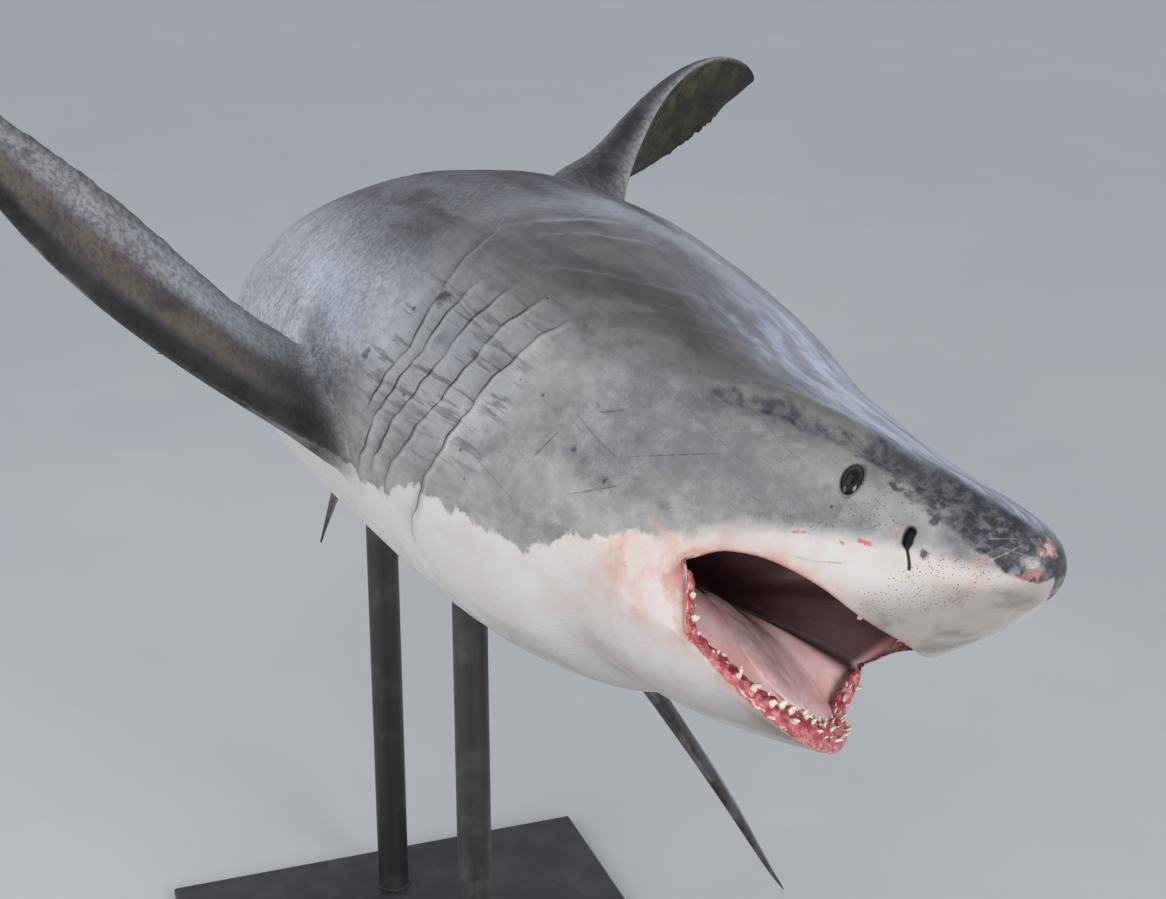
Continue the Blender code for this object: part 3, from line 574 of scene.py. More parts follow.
def eye_relief(place, side):
    """Lid rim hugging the eyeball outside the opening, and the socket inside it; second value is painted shade over
    the opening and in the folds round the lid.
    """
    centre, out, above, ahead = eye_axes(side)
    offset = place - centre
    a, b = offset @ above, offset @ ahead
    rho = np.maximum(np.sqrt((a / EYE_HALF_HEIGHT)**2 + (b / EYE_HALF_LENGTH)**2), 1e-4)
    tall, long, deep = EYE_BALL
    reach = ((a / tall)**2 + (b / long)**2) / rho**2
    ball = deep * np.sqrt(np.maximum(1 - reach, 0)) - EYE_SINK - offset @ out
    rim = np.maximum(ball, 0) + LID_LIFT
    relief = np.where(rho > 1, rim * hump(rho - 1, 0.60), rim - SOCKET_DEPTH * smoothstep((1 - rho) / 0.16))
    fold = 0.0009 * hump(rho - 1.30, 0.07) - 0.0010 * hump(rho - 1.20, 0.06)
    shade = 0.55 * hump(rho - 1.20, 0.07) * smoothstep(b / EYE_HALF_LENGTH) + 0.30 * hump(rho - 1.12, 0.10)
    return np.where(rho < 4, relief + fold, 0.0), np.maximum(1 - smoothstep((rho - 1.02) / 0.14), shade)


def nostril_relief(place, side):
    """Depth of the nostril with the low flap before it; second value is painted shade inside it."""
    u = np.linspace(0, 1, 25)
    s = NOSTRIL_FROM[0] + (NOSTRIL_TO[0] - NOSTRIL_FROM[0]) * smoothstep(u)
    path = skin_point(s, side * (NOSTRIL_FROM[1] + (NOSTRIL_TO[1] - NOSTRIL_FROM[1]) * u))
    relief, dark = np.zeros(len(place)), np.zeros(len(place))
    near = np.linalg.norm(place - path[15], axis=1) < 0.07
    distance = np.linalg.norm(place[near][:, None] - path, axis=2)
    along = u[distance.argmin(axis=1)]
    distance = distance.min(axis=1)
    wide = smoothstep((along - 0.48) / 0.24)
    width = NOSTRIL_TAIL + (NOSTRIL_WIDTH - NOSTRIL_TAIL) * wide
    inside = 1 - smoothstep((distance / width - 0.55) / 0.65)
    relief[near] = -NOSTRIL_DEPTH * (0.22 + 0.78 * wide) * inside + 0.0008 * hump(distance - width - 0.004, 0.004)
    dark[near] = np.maximum(1 - smoothstep((distance / width - 0.80) / 0.45), 0.4 * wide * hump(distance, 0.013))
    return relief, dark


# skin folds behind the gills' top ends, as (station, angle, run forward per degree); brow crease over the eye
FOLDS = ((0.712, 109.0, -0.0067), (0.763, 114.0, -0.0088), (0.820, 116.0, -0.0090), (0.938, 121.0, -0.0047),
         (0.660, 112.0, -0.0060), (0.880, 124.0, -0.0062))
FOLD_HEIGHT, FOLD_WIDTH = 0.0042, 0.0080
BROW_ANGLE, BROW_STATION, BROW_HEIGHT, BROW_DEPTH = 134.5, 0.22, 0.0085, 0.0065
GILL_FLAP, GILL_DROP, FLAP_REACH, SLIT_REACH = 0.0048, 0.0100, 0.014, 0.011
SLIT_CENTRE, SLIT_WIDTH, SLIT_UNEVEN, SLIT_SOFT, SLIT_SHADE, SLIT_ENDS = 0.0006, 0.0016, 0.0010, 0.0030, 0.50, 9.0
FLAP_EDGE, FLAP_EDGE_WIDTH = 0.0068, 0.0026
LIP_ROUND, LIP_SAMPLES, POINTS_AT_ONCE = 0.009, 180, 4000


def gill_relief(s, angle):
    """Flaps and grooves of the slits, and the masks of the painted shade in and behind the slits and of the painted
    highlight on the flaps' edges.
    """
    relief, dark, pale = np.zeros((3, len(s)))
    for station, _, _, low, high in GILLS:
        behind = s - (station + gill_shift(station, angle))
        span = smoothstep((angle - low) / SLIT_ENDS) * smoothstep((high - angle) / SLIT_ENDS)
        groove = np.exp(-np.maximum(behind, 0) / SLIT_REACH)
        flap = GILL_FLAP * np.exp(np.minimum(behind, 0) / FLAP_REACH)
        relief += span * np.where(behind < 0, flap, -GILL_DROP * groove)
        shade = np.where(behind > 0, SLIT_SHADE * groove, 0.0)
        wide = SLIT_WIDTH + SLIT_UNEVEN * np.sin(0.31 * angle + 40 * station)
        line = 1 - smoothstep((np.abs(behind - SLIT_CENTRE) - wide) / SLIT_SOFT)
        dark = np.maximum(dark, span * np.maximum(line, shade))
        pale += span * hump(behind + FLAP_EDGE, FLAP_EDGE_WIDTH)
    return relief, dark, pale


def fold_relief(s, angle, radius):
    """Slanting skin folds: a ridge with a hollow behind it."""
    relief = np.zeros(len(s))
    for k, (station, start, slope) in enumerate(FOLDS):
        line = station + slope * (angle - start) + 0.004 * np.sin(angle * 0.35 + k)
        slant = slope * 180 / math.pi / radius
        across = (s - line) / np.sqrt(1 + slant**2)
        span = smoothstep((angle - start + 2) / 12) * smoothstep((152 - angle) / 22)
        relief += span * FOLD_HEIGHT * (hump(across, FOLD_WIDTH) - 0.6 * hump(across - 0.017, FOLD_WIDTH))
    return relief


def brow_relief(s, angle, radius):
    """Ridge over the eye with the crease under it; second value is the crease's shade."""
    crease = BROW_ANGLE - 15 * ((s - BROW_STATION) / 0.26)**2
    above = np.radians(angle - crease) * radius
    span = smoothstep((s - 0.07) / 0.09) * smoothstep((0.55 - s) / 0.14)
    relief = span * (BROW_HEIGHT * hump(above - 0.026, 0.022) - BROW_DEPTH * hump(above + 0.008, 0.015))
    return relief, span * hump(above + 0.002, 0.019)


def lip_distance(place):
    """Distance of straight points from the line of the closed lips."""
    share = np.linspace(0, 1, LIP_SAMPLES)
    line = np.concatenate([skin_point(*lip_edge(share, lower)[:2]) for lower in (True, False)])
    distance = np.full(len(place), 1.0)
    near = np.flatnonzero((place[:, 0] > -0.47) & (place[:, 0] < -0.13) & (place[:, 2] < 0.12))
    half = np.stack([place[near, 0], np.abs(place[near, 1]), place[near, 2]], -1)
    for first in range(0, len(half), POINTS_AT_ONCE):
        some = slice(first, first + POINTS_AT_ONCE)
        distance[near[some]] = np.linalg.norm(half[some, None] - line, axis=2).min(axis=1)
    return distance


def unevenness(place, size, seed):
    """Gentle swellings: a few sine waves through space."""
    waves = random.Random(seed)
    total = np.zeros(len(place))
    for _ in range(7):
        way = np.array([waves.gauss(0, 1) for _ in range(3)])
        way *= 2 * math.pi / (size * (0.6 + 0.8 * waves.random())) / np.linalg.norm(way)
        total += np.sin(place @ way + waves.uniform(0, 2 * math.pi))
    return total / 7


# markings, as angles at stations: where grey meets white, and the lower edge of the dark cap on the snout, which runs
# low at the tip to paint shade under it
BORDER = ((0.0, 62.0), (0.05, 67.0), (0.10, 80.0), (0.15, 86.0), (0.28, 84.0), (0.43, 71.0), (0.51, 65.0),
          (0.60, 54.0), (0.69, 57.0), (0.78, 56.0), (0.90, 45.0), (1.4, 47.0), (2.0, 54.0), (2.9, 72.0), (3.6, 88.0))
BACK_FROM = ((0.0, 118.0), (0.2, 122.0), (0.4, 112.0), (0.6, 99.0), (0.9, 97.0), (1.05, 86.0), (1.35, 84.0),
             (1.9, 96.0), (3.6, 104.0))
CAP_EDGE = ((0.0, 20.0), (0.02, 48.0), (0.056, 84.0), (0.113, 105.0), (0.184, 126.0), (0.25, 138.0), (0.35, 147.0))
MASKS = ("side", "snout", "cap", "back", "dark", "pale", "sheen", "under", "olive_face_shade", "pink", "pores", "gills",
         "lining", "bed", "fin", "tan")
PORE_FIELDS = ((0.150, 114.0, 0.045, 7.0), (0.235, 90.0, 0.030, 5.0), (0.172, 100.0, 0.030, 6.0),
               (0.075, 56.0, 0.040, 20.0), (0.120, 40.0, 0.050, 14.0))


def body_surface(place, jaw, lining):
    """Sculpted places of the body's vertices and their masks of markings and of painted light and shade, from their
    smooth straight places.
    """
    skin = lining < 1e-6
    side = np.where(place[:, 1] < 0, -1.0, 1.0)
    s, theta = -place[:, 0], straight_angle(place)
    place = np.where(skin[:, None], skin_point(s, theta), place)
    angle, normal = np.abs(theta), skin_normal(s, theta)
    centre = np.stack([place[:, 0], 0 * s, list(girth_at(s))[3]], -1)
    radius = np.maximum(np.linalg.norm(place - centre, axis=1), 0.02)

    relief, dark, pale = gill_relief(s, angle)
    brow, crease = brow_relief(s, angle, radius)
    relief += fold_relief(s, angle, radius) + brow
    relief += 0.0022 * unevenness(place, 0.30, 3) * smoothstep((s - 0.05) / 0.2)
    relief += 0.0007 * unevenness(place, 0.06, 5) * smoothstep((s - 0.5) / 0.2)
    for way in (-1, 1):
        mine = side == way
        for organ in (eye_relief, nostril_relief):
            depth, inside = organ(place, way)
            relief += np.where(mine, depth, 0.0)
            dark = np.maximum(dark, np.where(mine, inside, 0.0))
    distance = lip_distance(place)
    edge = np.clip(LIP_ROUND - distance, 0, LIP_ROUND)
    relief -= LIP_ROUND - np.sqrt(LIP_ROUND**2 - edge**2)
    relief -= 0.003 * hump(s - 0.832 + 0.0004 * (34 - angle), 0.010) * smoothstep((40 - angle) / 12)
    sculpted = place + normal * np.where(skin, relief, 0.0)[:, None]

    border = through(s, *zip(*BORDER))
    # the dark cap fades along the head's top as painted highlight, and the brow crease's painted shade joins it
    top = smoothstep((angle - 146) / 22) * smoothstep((s - 0.05) / 0.10)
    cap = smoothstep((angle - through(s, *zip(*CAP_EDGE))) / 20 + 0.5) * smoothstep((0.36 - s) / 0.20)
    cap = cap * (1 - 0.62 * top) + 0.75 * crease * (1 - cap)
    masks = {
        "side": np.radians(angle - border) * radius,
        "snout": smoothstep((0.47 - s) / 0.22),
        "cap": cap,
        "back": smoothstep((angle - through(s, *zip(*BACK_FROM))) / 30),
        # painted shade in the gill slits, eye sockets, lid folds and nostrils, and painted highlight on the gill
        # flaps' edges
        "dark": dark,
        "pale": pale,
        # painted sky reflection: a blue sheen along the head's top
        "sheen": smoothstep((angle - 137) / 11) * smoothstep((s - 0.01) / 0.05) * smoothstep((0.74 - s) / 0.30),
        # painted shade under the snout
        "under": smoothstep((60 - angle) / 34) * smoothstep((0.27 - s) / 0.12),
        "pink": (np.exp(-distance / 0.012) + 1.6 * np.exp(-distance / 0.004) + 0.40 * np.exp(-distance / 0.05)
                 + 0.5 * hump(s - 0.05, 0.05) * smoothstep((95 - angle) / 30) + 0.45 * hump(s - 0.44, 0.10)
                 + 0.9 * hump(s - 0.43, 0.05) * hump(angle - 68, 8)),
        "pores": sum(hump(s - at, run) * hump(angle - mid, spread) for at, mid, run, spread in PORE_FIELDS),
        "gills": smoothstep((s - 0.655) / 0.04) * smoothstep((1.02 - s) / 0.08) * hump(angle - 88, 24),
        "lining": lining,
        "bed": np.clip(jaw / np.maximum(1 - lining, 0.05), 0, 1),
    }
    masks = np.stack([np.where(skin | (name in ("lining", "bed")), masks.get(name, 0.0), 0.0) for name in MASKS], -1)
    return lay_along_spine(open_jaw(sculpted, jaw)), open_jaw(place, jaw), masks


# fins: stiff blades with a rounded front edge and a thin rear edge; sizes as the frame has them
STRAIGHT = dict(lobe=0.030, pitch=0.0, twist=0.0, bend=0.0, fray=0.0)
SMALL = dict(STRAIGHT, lean=0.0, height=0.070, bow=0.006, hollow=0.012, thick=0.014, rows=22)
PELVIC = dict(STRAIGHT, s=2.180, base=0.170, height=0.150, sweep=0.130, bow=0.012, hollow=0.020, thick=0.044, rows=28)
PECTORAL = dict(s=0.955, base=0.331, lobe=0.020, thick=0.140, rows=66, fray=0.0012)
FINS = {
    "first_dorsal_fin": dict(s=1.36, angle=180.0, lean=0.0, base=0.507, height=0.597, sweep=0.463, bow=-0.028,
                             hollow=0.118, lobe=0.030, thick=0.250, camber=0.048, tip=0.30, blunt=5,
                             pitch=-12.8, twist=-56.0, bend=-98.6, rows=64, fray=0.0022),
    "second_dorsal_fin": dict(SMALL, s=2.880, angle=180.0, base=0.065, sweep=0.055),
    "anal_fin": dict(SMALL, s=2.950, angle=0.0, base=0.060, sweep=0.060),
    "pectoral_fin_right": dict(PECTORAL, angle=-43.0, lean=-39.9, height=0.908, sweep=0.355, bow=0.096, hollow=0.040,
                               pitch=-19.8, twist=-27.9, bend=-54.1),
    "pectoral_fin_left": dict(PECTORAL, angle=53.0, lean=22.0, height=0.880, sweep=0.440, bow=0.085, hollow=0.030,
                              pitch=8.0, twist=8.0, bend=8.0),
    "pelvic_fin_right": dict(PELVIC, angle=-38.0, lean=-12.0),
    "pelvic_fin_left": dict(PELVIC, angle=38.0, lean=12.0),
}
FIN_DEPTH, FIN_STIFFNESS, TWIST_END, ROOT_FILLET, EDGE_THICKNESS, LEAST_CHORD = 0.09, 2.4, 0.87, 0.10, 0.0012, 0.010
FIN_COLUMNS = 22
TAIL_HEIGHTS, TAIL_ROOT, TAIL_FORK, TAIL_TIP = (0.490, 0.560), 3.300, 3.600, 3.990
TAIL_THICKNESS, TAIL_BOW, TAIL_TIP_CHORD, TAIL_ROWS = 0.060, 0.030, 0.012, 110


def narrowed(front, rear, share):
    """Front and rear edge drawn together to a share of their distance, which rounds off a tip."""
    middle = front + 0.6 * (rear - front)
    return middle + (front - middle) * share, middle + (rear - middle) * share


def fin_outline(fin, t):
    """Front and rear edge of a fin at a share of its height."""
    tip = fin["sweep"] * t
    front = tip - fin["bow"] * np.sin(math.pi * t)
    straight = fin["base"] + (fin["sweep"] + fin.get("tip", 0.10) * fin["base"] - fin["base"]) * t
    lobe = fin["lobe"] * np.exp(-((t - 0.10) / 0.07)**2)
    fray = fin["fray"] * (math.sin(97 * t) + math.sin(173 * t + 1) + math.sin(61 * t + 2)) * smoothstep(t / 0.15)
    rear = straight - fin["hollow"] * np.sin(math.pi * t**0.8) + lobe + fray
    return narrowed(front, rear, np.sqrt(np.clip(1 - t**fin.get("blunt", 7), 0, 1)))


def airfoil(bulge):
    """Loop round a section: share of the chord, bulge to each side, least thickness, and which side it is."""
    chord = 0.5 - 0.5 * np.cos(math.pi * np.linspace(0, 1, FIN_COLUMNS + 1))
    out, back = bulge(chord), slice(-2, 0, -1)
    way = np.concatenate([np.ones(len(chord)), -np.ones(len(chord) - 2)])
    return np.concatenate([chord, chord[back]]), np.concatenate([out, -out[back]]), way * EDGE_THICKNESS / 2, way


def fin_bulge(chord):
    """Half thickness of a streamlined section along its chord."""
    return 5 * (0.2969 * np.sqrt(chord) - 0.1260 * chord - 0.3516 * chord**2 + 0.2843 * chord**3
                - 0.1036 * chord**4)


def fin_rings(fin):
    """Straight places of a fin's sections, and for each point its share of the height, chord and side."""
    root, angle = skin_point(fin["s"], fin["angle"]), math.radians(fin["angle"])
    span = turn('X', fin["lean"]) @ np.array([0.0, math.sin(angle), -math.cos(angle)])
    back = np.array([-1.0, 0.0, 0.0])
    chord, side, edge, way = airfoil(fin_bulge)

    def section(axis, t, bend, thick):
        leading, trailing = fin_outline(fin, t)
        spin = fin["pitch"] + fin["twist"] * smoothstep(t / TWIST_END)
        twist = np.array(Matrix.Rotation(math.radians(spin), 3, Vector(span)))
        run, across = bend @ twist @ back, bend @ twist @ np.cross(span, back)
        camber = fin.get("camber", 0.0) * np.sin(math.pi * chord**0.6) * (1 - t)**0.7
        return (axis + back * leading + np.outer(chord * max(trailing - leading, LEAST_CHORD), run)
                + np.outer(side * thick / 2 + edge + camber, across))

    rings, axis, last = [section(root - span * FIN_DEPTH, 0.0, np.eye(3), fin["thick"])], root, 0.0
    heights = np.linspace(0, 1, fin["rows"])**0.9
    for t in heights:
        bend = turn('X', fin["bend"] * t**FIN_STIFFNESS)
        axis = axis + bend @ span * (t - last) * fin["height"]
        last = t
        rings.append(section(axis, t, bend, fin["thick"] / 2 * ((1 - t)**0.8 + math.exp(-(t / ROOT_FILLET)**2))))
    tall = np.repeat(np.concatenate([[0.0], heights])[:, None], len(chord), 1)
    return np.array(rings), tall, np.broadcast_to(chord, tall.shape), np.broadcast_to(way, tall.shape)


def tail_rings():
    """Sections of the crescent tail fin, from the tip of its lower horn to that of its upper one."""
    chord, side, edge, way = airfoil(lambda chord: np.sin(math.pi * chord**0.6)**0.8)
    rings, tall = [], np.linspace(-1, 1, TAIL_ROWS)
    for t in tall:
        part = abs(t)
        leading = TAIL_ROOT + (TAIL_TIP - TAIL_ROOT) * part**0.92 - TAIL_BOW * math.sin(math.pi * part)
        trailing = TAIL_FORK + (TAIL_TIP + TAIL_TIP_CHORD - TAIL_FORK) * part**1.35
        trailing += 0.0012 * (math.sin(83 * t) + math.sin(141 * t + 1)) * smoothstep(part / 0.1)
        thick = TAIL_THICKNESS / 2 * (1 - part)**1.2 + 2 * EDGE_THICKNESS
        leading, trailing = narrowed(leading, trailing, math.sqrt(1 - min(part, 0.999)**9))
        rings.append(np.stack([-(leading + chord * (trailing - leading)), side * thick + edge,
                               np.full(len(chord), t * TAIL_HEIGHTS[int(t > 0)])], -1))
    tall = np.repeat(np.abs(tall)[:, None], len(chord), 1)
    return np.array(rings), tall, np.broadcast_to(chord, tall.shape), np.broadcast_to(way, tall.shape)


def fin_masks(name, tall, chord, way):
    """Masks of a fin's markings: grey above, white below with a blackish tip, blackish edges; on the first dorsal
    also painted shade, greenish brown on its left face, and a painted highlight along its front edge.
    """
    rear, front = smoothstep((chord - 0.80) / 0.2), smoothstep((0.25 - chord) / 0.13)
    tip = smoothstep((tall - 0.80) / 0.12)
    paired = name.startswith("pe")
    above = way * (1 if name.endswith("left") else -1) if paired else np.ones_like(way)
    masks = dict.fromkeys(MASKS, 0 * tall)
    masks["side"] = np.where(above > 0, 0.05, -0.05 + 0.11 * tip + 0.06 * rear * smoothstep((tall - 0.3) / 0.4))
    masks["cap"] = 0.55 * tip * paired
    masks["back"] = (0.55 if paired else 0.75) + 0 * tall
    masks["fin"] = np.clip(front * (0.97 if paired else 0.35) + rear * 0.7 + 0.5 * tip, 0, 1)
    if name == "first_dorsal_fin":
        # painted shade: greenish brown over the left face, near black towards its tip and rear edge, and on the right
        # face most at its rounded front edge
        masks["olive_face_shade"] = (way < 0) * smoothstep(tall / 0.2) * smoothstep((chord - 0.02) / 0.05)
        shaded = smoothstep((tall - 0.30) / 0.45) * (way < 0) * smoothstep((chord - 0.22) / 0.5)
        ridge = (way > 0) * (0.30 + 0.65 * hump(chord - 0.07, 0.10))
        masks["fin"] = np.maximum(np.maximum(shaded, rear), np.maximum(ridge, smoothstep((tall - 0.84) / 0.08)))
        masks["pale"] = 1.6 * hump(chord, 0.006) * smoothstep(tall / 0.1) * smoothstep((0.96 - tall) / 0.1)
    if name == "pectoral_fin_right":
        masks["fin"] = np.maximum(masks["fin"], hump(tall - 0.02, 0.13) * smoothstep((0.90 - chord) / 0.5))
        masks["tan"] = 0.85 * smoothstep((chord - 0.14) / 0.10) * smoothstep((0.62 - chord) / 0.22)
        # less brown towards the rear edge, so that a lighter grey shows there as a painted bluish reflection
        masks["back"] = 1.0 - 0.65 * smoothstep((chord - 0.45) / 0.2)
    return np.stack([masks[label] for label in MASKS], -1)


def mesh_from(tool, name):
    """Turn a bmesh with outward faces into a mesh."""
    mesh = bpy.data.meshes.new(name)
    tool.to_mesh(mesh)
    tool.free()
    return mesh


def mesh_of(name, points, faces):
    mesh = bpy.data.meshes.new(name)
    mesh.from_pydata([tuple(p) for p in points], [], faces)
    return placed(name, mesh)


def ring_faces(count, around, first):
    """Faces of a closed tube of rings whose vertices start at index first."""
    faces = [(first + r * around + k, first + r * around + (k + 1) % around,
              first + (r + 1) * around + (k + 1) % around, first + (r + 1) * around + k)
             for r in range(count - 1) for k in range(around)]
    faces.append(tuple(range(first, first + around)))
    faces.append(tuple(first + (count - 1) * around + k for k in range(around)))
    return faces


def outward(mesh):
    """Turn a mesh's faces outward."""
    tool = bmesh.new()
    tool.from_mesh(mesh)
    bmesh.ops.recalc_face_normals(tool, faces=tool.faces)
    tool.to_mesh(mesh)
    tool.free()


def arrays_of(tool):
    jaw, lining = (tool.verts.layers.float[name] for name in ("jaw", "lining"))
    places = np.array([tuple(vert.co) for vert in tool.verts])
    return places, np.array([vert[jaw] for vert in tool.verts]), np.array([vert[lining] for vert in tool.verts])


weave = woven_body()
nostril = (NOSTRIL_FROM[0] + NOSTRIL_TO[0]) / 2, (NOSTRIL_FROM[1] + NOSTRIL_TO[1]) / 2
for reach in (REFINE_REACH, 0.72 * REFINE_REACH):
    refined(weave, [(skin_point(s, side * angle), reach) for side in (-1, 1)
                    for s, angle in ((EYE_STATION, EYE_ANGLE), nostril)])
refined(weave, [(skin_point(nostril[0], side * nostril[1]), 0.55 * REFINE_REACH) for side in (-1, 1)])
body_places, body_rests, body_masks = body_surface(*arrays_of(weave))
for vert, place in zip(weave.verts, body_places):
    vert.co = place
hide = placed("shark_skin", mesh_from(weave, "shark_skin"))

fin_points, fin_faces, fin_rests, fin_marks = [], [], [], []
for name, fin in list(FINS.items()) + [("tail", None)]:
    rings, tall, chord, way = fin_rings(fin) if fin else tail_rings()
    laid = carry(rings, fin["s"] + fin["base"] / 2) if fin else lay_along_spine(rings)
    fin_faces += ring_faces(*rings.shape[:2], sum(map(len, fin_points)))
    fin_points.append(laid.reshape(-1, 3))
    fin_rests.append(rings.reshape(-1, 3))
    fin_marks.append(fin_masks(name, tall, chord, way).reshape(-1, len(MASKS)))
fin_counts = [len(part) for part in fin_points]
fin_points, fin_rests, fin_marks = (np.concatenate(part) for part in (fin_points, fin_rests, fin_marks))
blades = mesh_of("fin_blades", fin_points, fin_faces)
outward(blades.data)

union = hide.modifiers.new("fins", 'BOOLEAN')
union.operation, union.solver, union.object = 'UNION', 'EXACT', blades
joined = bpy.data.meshes.new_from_object(hide.evaluated_get(bpy.context.evaluated_depsgraph_get()))
hide.modifiers.clear()
hide.data = joined
bpy.data.objects.remove(blades, do_unlink=True)


def nearest(points, targets):
    """Index of the nearest target to each point, and its distance."""
    finder = kdtree.KDTree(len(targets))
    for k, target in enumerate(targets):
        finder.insert(target, k)
    finder.balance()
    found = [finder.find(point) for point in points]
    return np.array([item[1] for item in found]), np.array([item[2] for item in found])


def smoothed(values, edges, weight, rounds):
    """Draw values towards their neighbours' mean, by a weight for each vertex."""
    count = np.bincount(edges.ravel(), minlength=len(values))[:, None]
    for _ in range(rounds):
        total = np.stack([np.bincount(edges[:, 0], column[edges[:, 1]], len(values))
                          + np.bincount(edges[:, 1], column[edges[:, 0]], len(values)) for column in values.T], -1)
        values = values + weight[:, None] * (total / count - values)
    return values


def mark(mesh, name, values):
    """Write an attribute of the vertices: one number or one vector each."""
    values = np.asarray(values, np.float32)
    kind, field = ('FLOAT', "value") if values.ndim == 1 else ('FLOAT_VECTOR', "vector")
    mesh.attributes.new(name, kind, 'POINT').data.foreach_set(field, values.ravel())


# where fins leave the body the skin is faired over, and the markings run into each other
FILLETS = {"first_dorsal_fin": 0.035, "pectoral_fin_right": 0.035, "pectoral_fin_left": 0.035, "tail": 0.020}
SMALL_FILLET, FAIRING_ROUNDS, BLEND_REACH = 0.012, 30, 2.2


def finish_skin(mesh):
    """Fair the fins' roots, then write the straight place and the masks of markings and painted light onto the mesh.
    """
    places = np.zeros(len(mesh.vertices) * 3)
    mesh.vertices.foreach_get("co", places)
    places = places.reshape(-1, 3)
    edges = np.zeros(len(mesh.edges) * 2, int)
    mesh.edges.foreach_get("vertices", edges)
    edges = edges.reshape(-1, 2)
    source = np.concatenate([body_places, fin_points])
    which, gap = nearest(places, source)
    rests = np.concatenate([body_rests, fin_rests])[which] + (places - source[which])
    masks = np.concatenate([body_masks, fin_marks])[which]
    seam = places[gap > 2e-5]
    reach = np.repeat([FILLETS.get(name, SMALL_FILLET) for name in [*FINS, "tail"]], fin_counts)
    seam_reach = reach[nearest(seam, fin_points)[0]]
    root, distance = nearest(places, seam)
    fair = 1 - smoothstep(distance / seam_reach[root])
    blend = 1 - smoothstep(distance / (BLEND_REACH * seam_reach[root]))
    places = smoothed(places, edges, 0.5 * fair, FAIRING_ROUNDS)
    masks = smoothed(masks, edges, 0.5 * blend, FAIRING_ROUNDS)
    mesh.vertices.foreach_set("co", places.ravel())
    for name, mask in zip(MASKS, masks.T):
        mark(mesh, name, mask)
    mark(mesh, "rest", rests)
    smooth(mesh)
    mesh.update()


finish_skin(joined)

# colours of the hide: wet slate grey with a browner back, white below, a blue-black cap on the snout; then its
# round marks as (station, angle, radius) and its straight ones as (station, angle, end's station, angle, half width)
GREY, PALE_GREY, BEIGE = (0.165, 0.168, 0.172), (0.385, 0.387, 0.392), (0.350, 0.338, 0.290)
# painted light among these: the sheen colour is a painted sky reflection, the snout grey painted shade under the
# snout, and the blue grey partly the skin's tone, partly painted sky reflection on the trunk
BLUE_GREY, PAINTED_SHEEN, SNOUT_UNDERSIDE_SHADE = (0.520, 0.538, 0.590), (0.430, 0.465, 0.580), (0.150, 0.136, 0.112)
BROWN, DARK_BROWN, TAN = (0.066, 0.055, 0.060), (0.036, 0.031, 0.034), (0.150, 0.118, 0.090)
WHITE, WARM_WHITE, NAVY, NEAR_BLACK = (0.59, 0.575, 0.565), (0.51, 0.42, 0.37), (0.018, 0.021, 0.038), (0.012, 0.011, 0.013)
# the fin edge colour also paints the shade on the first dorsal
PINK, RED, FIN_EDGE_AND_SHADE = (0.62, 0.27, 0.23), (0.55, 0.07, 0.06), (0.008, 0.007, 0.008)
# the olive colours paint the shade on the first dorsal's left face
OLIVE_SHADE, DARK_OLIVE_SHADE, ROSY = (0.080, 0.072, 0.026), (0.018, 0.016, 0.006), (0.540, 0.320, 0.275)
# maroon and the roof colour paint the shade deep in the mouth
FLESH, PALE_FLESH, MAROON_SHADE, ROOF_SHADE = (0.80, 0.42, 0.42), (0.84, 0.62, 0.62), (0.030, 0.010, 0.012), (0.070, 0.032, 0.037)
LIP_RED = (0.42, 0.11, 0.11)
SPOTS = ((0.975, 79.0, 0.009), (0.888, 102.0, 0.012), (0.182, 120.0, 0.009), (0.113, 106.0, 0.007),
         (0.930, 96.0, 0.004), (0.640, 96.0, 0.004), (0.560, 88.0, 0.005), (0.500, 84.0, 0.004), (0.016, 60.0, 0.006),
         (0.105, 75.0, 0.006))
SCARS = ((0.013, 150.0, 0.014), (0.012, 128.0, 0.007))
SORES = ((0.008, 62.0, 0.008), (0.117, 57.0, 0.0035), (0.232, 83.0, 0.0018))
RED_STREAKS = ((0.200, 82.0, 0.190, 79.0, 0.0022), (0.181, 84.0, 0.161, 80.0, 0.0026),
               (0.255, 82.0, 0.235, 84.0, 0.0014))
PINK_STREAKS = ((0.062, 66.0, 0.046, 86.0, 0.0045), (0.030, 50.0, 0.006, 66.0, 0.0060),
                (0.430, 50.0, 0.410, 44.0, 0.0060), (0.150, 92.0, 0.135, 99.0, 0.0022),
                (0.372, 70.0, 0.425, 77.0, 0.0040))
PALE_SCARS = ((0.050, 72.0, 0.026, 132.0, 0.0010), (0.043, 96.0, 0.010, 104.0, 0.0008),
              (0.060, 100.0, 0.030, 120.0, 0.0007))
CUTS = ((0.490, 93.0, 0.362, 108.0, 0.0009), (0.552, 74.0, 0.470, 86.0, 0.0009), (0.560, 99.0, 0.520, 105.0, 0.0012),
        (0.610, 80.0, 0.588, 92.0, 0.0010), (0.330, 96.0, 0.300, 93.0, 0.0009))
COAT_ROUGHNESS, SKIN_IOR = 0.16, 1.42
RIPPLES, TRUNK_RIPPLE, HEAD_RIPPLE, GRAIN_HEIGHT, SCRATCH_DEPTH = (75.0, 115.0, 115.0), 0.0085, 0.0022, 0.0003, 0.0006
SCRATCH_WAY, FLECKS, PORES = (0.25, 0.10, 1.0), (21.0, 1.0), (205.0, 0.9)    # flecks, pores: scale, randomness


def layered(colour, *layers):
    """One coat of colour over another, each through its mask."""
    for mask, coat in layers:
        colour = mixed(mask, colour, coat)
    return colour


def chained(operation):
    """A function that puts one Math node after another over two or more values."""
    def chain(*values):
        total = values[0]
        for value in values[1:]:
            total = put(tree_of(total, value), "Math", {0: total, 1: value}, operation=operation).outputs[0]
        return total
    return chain


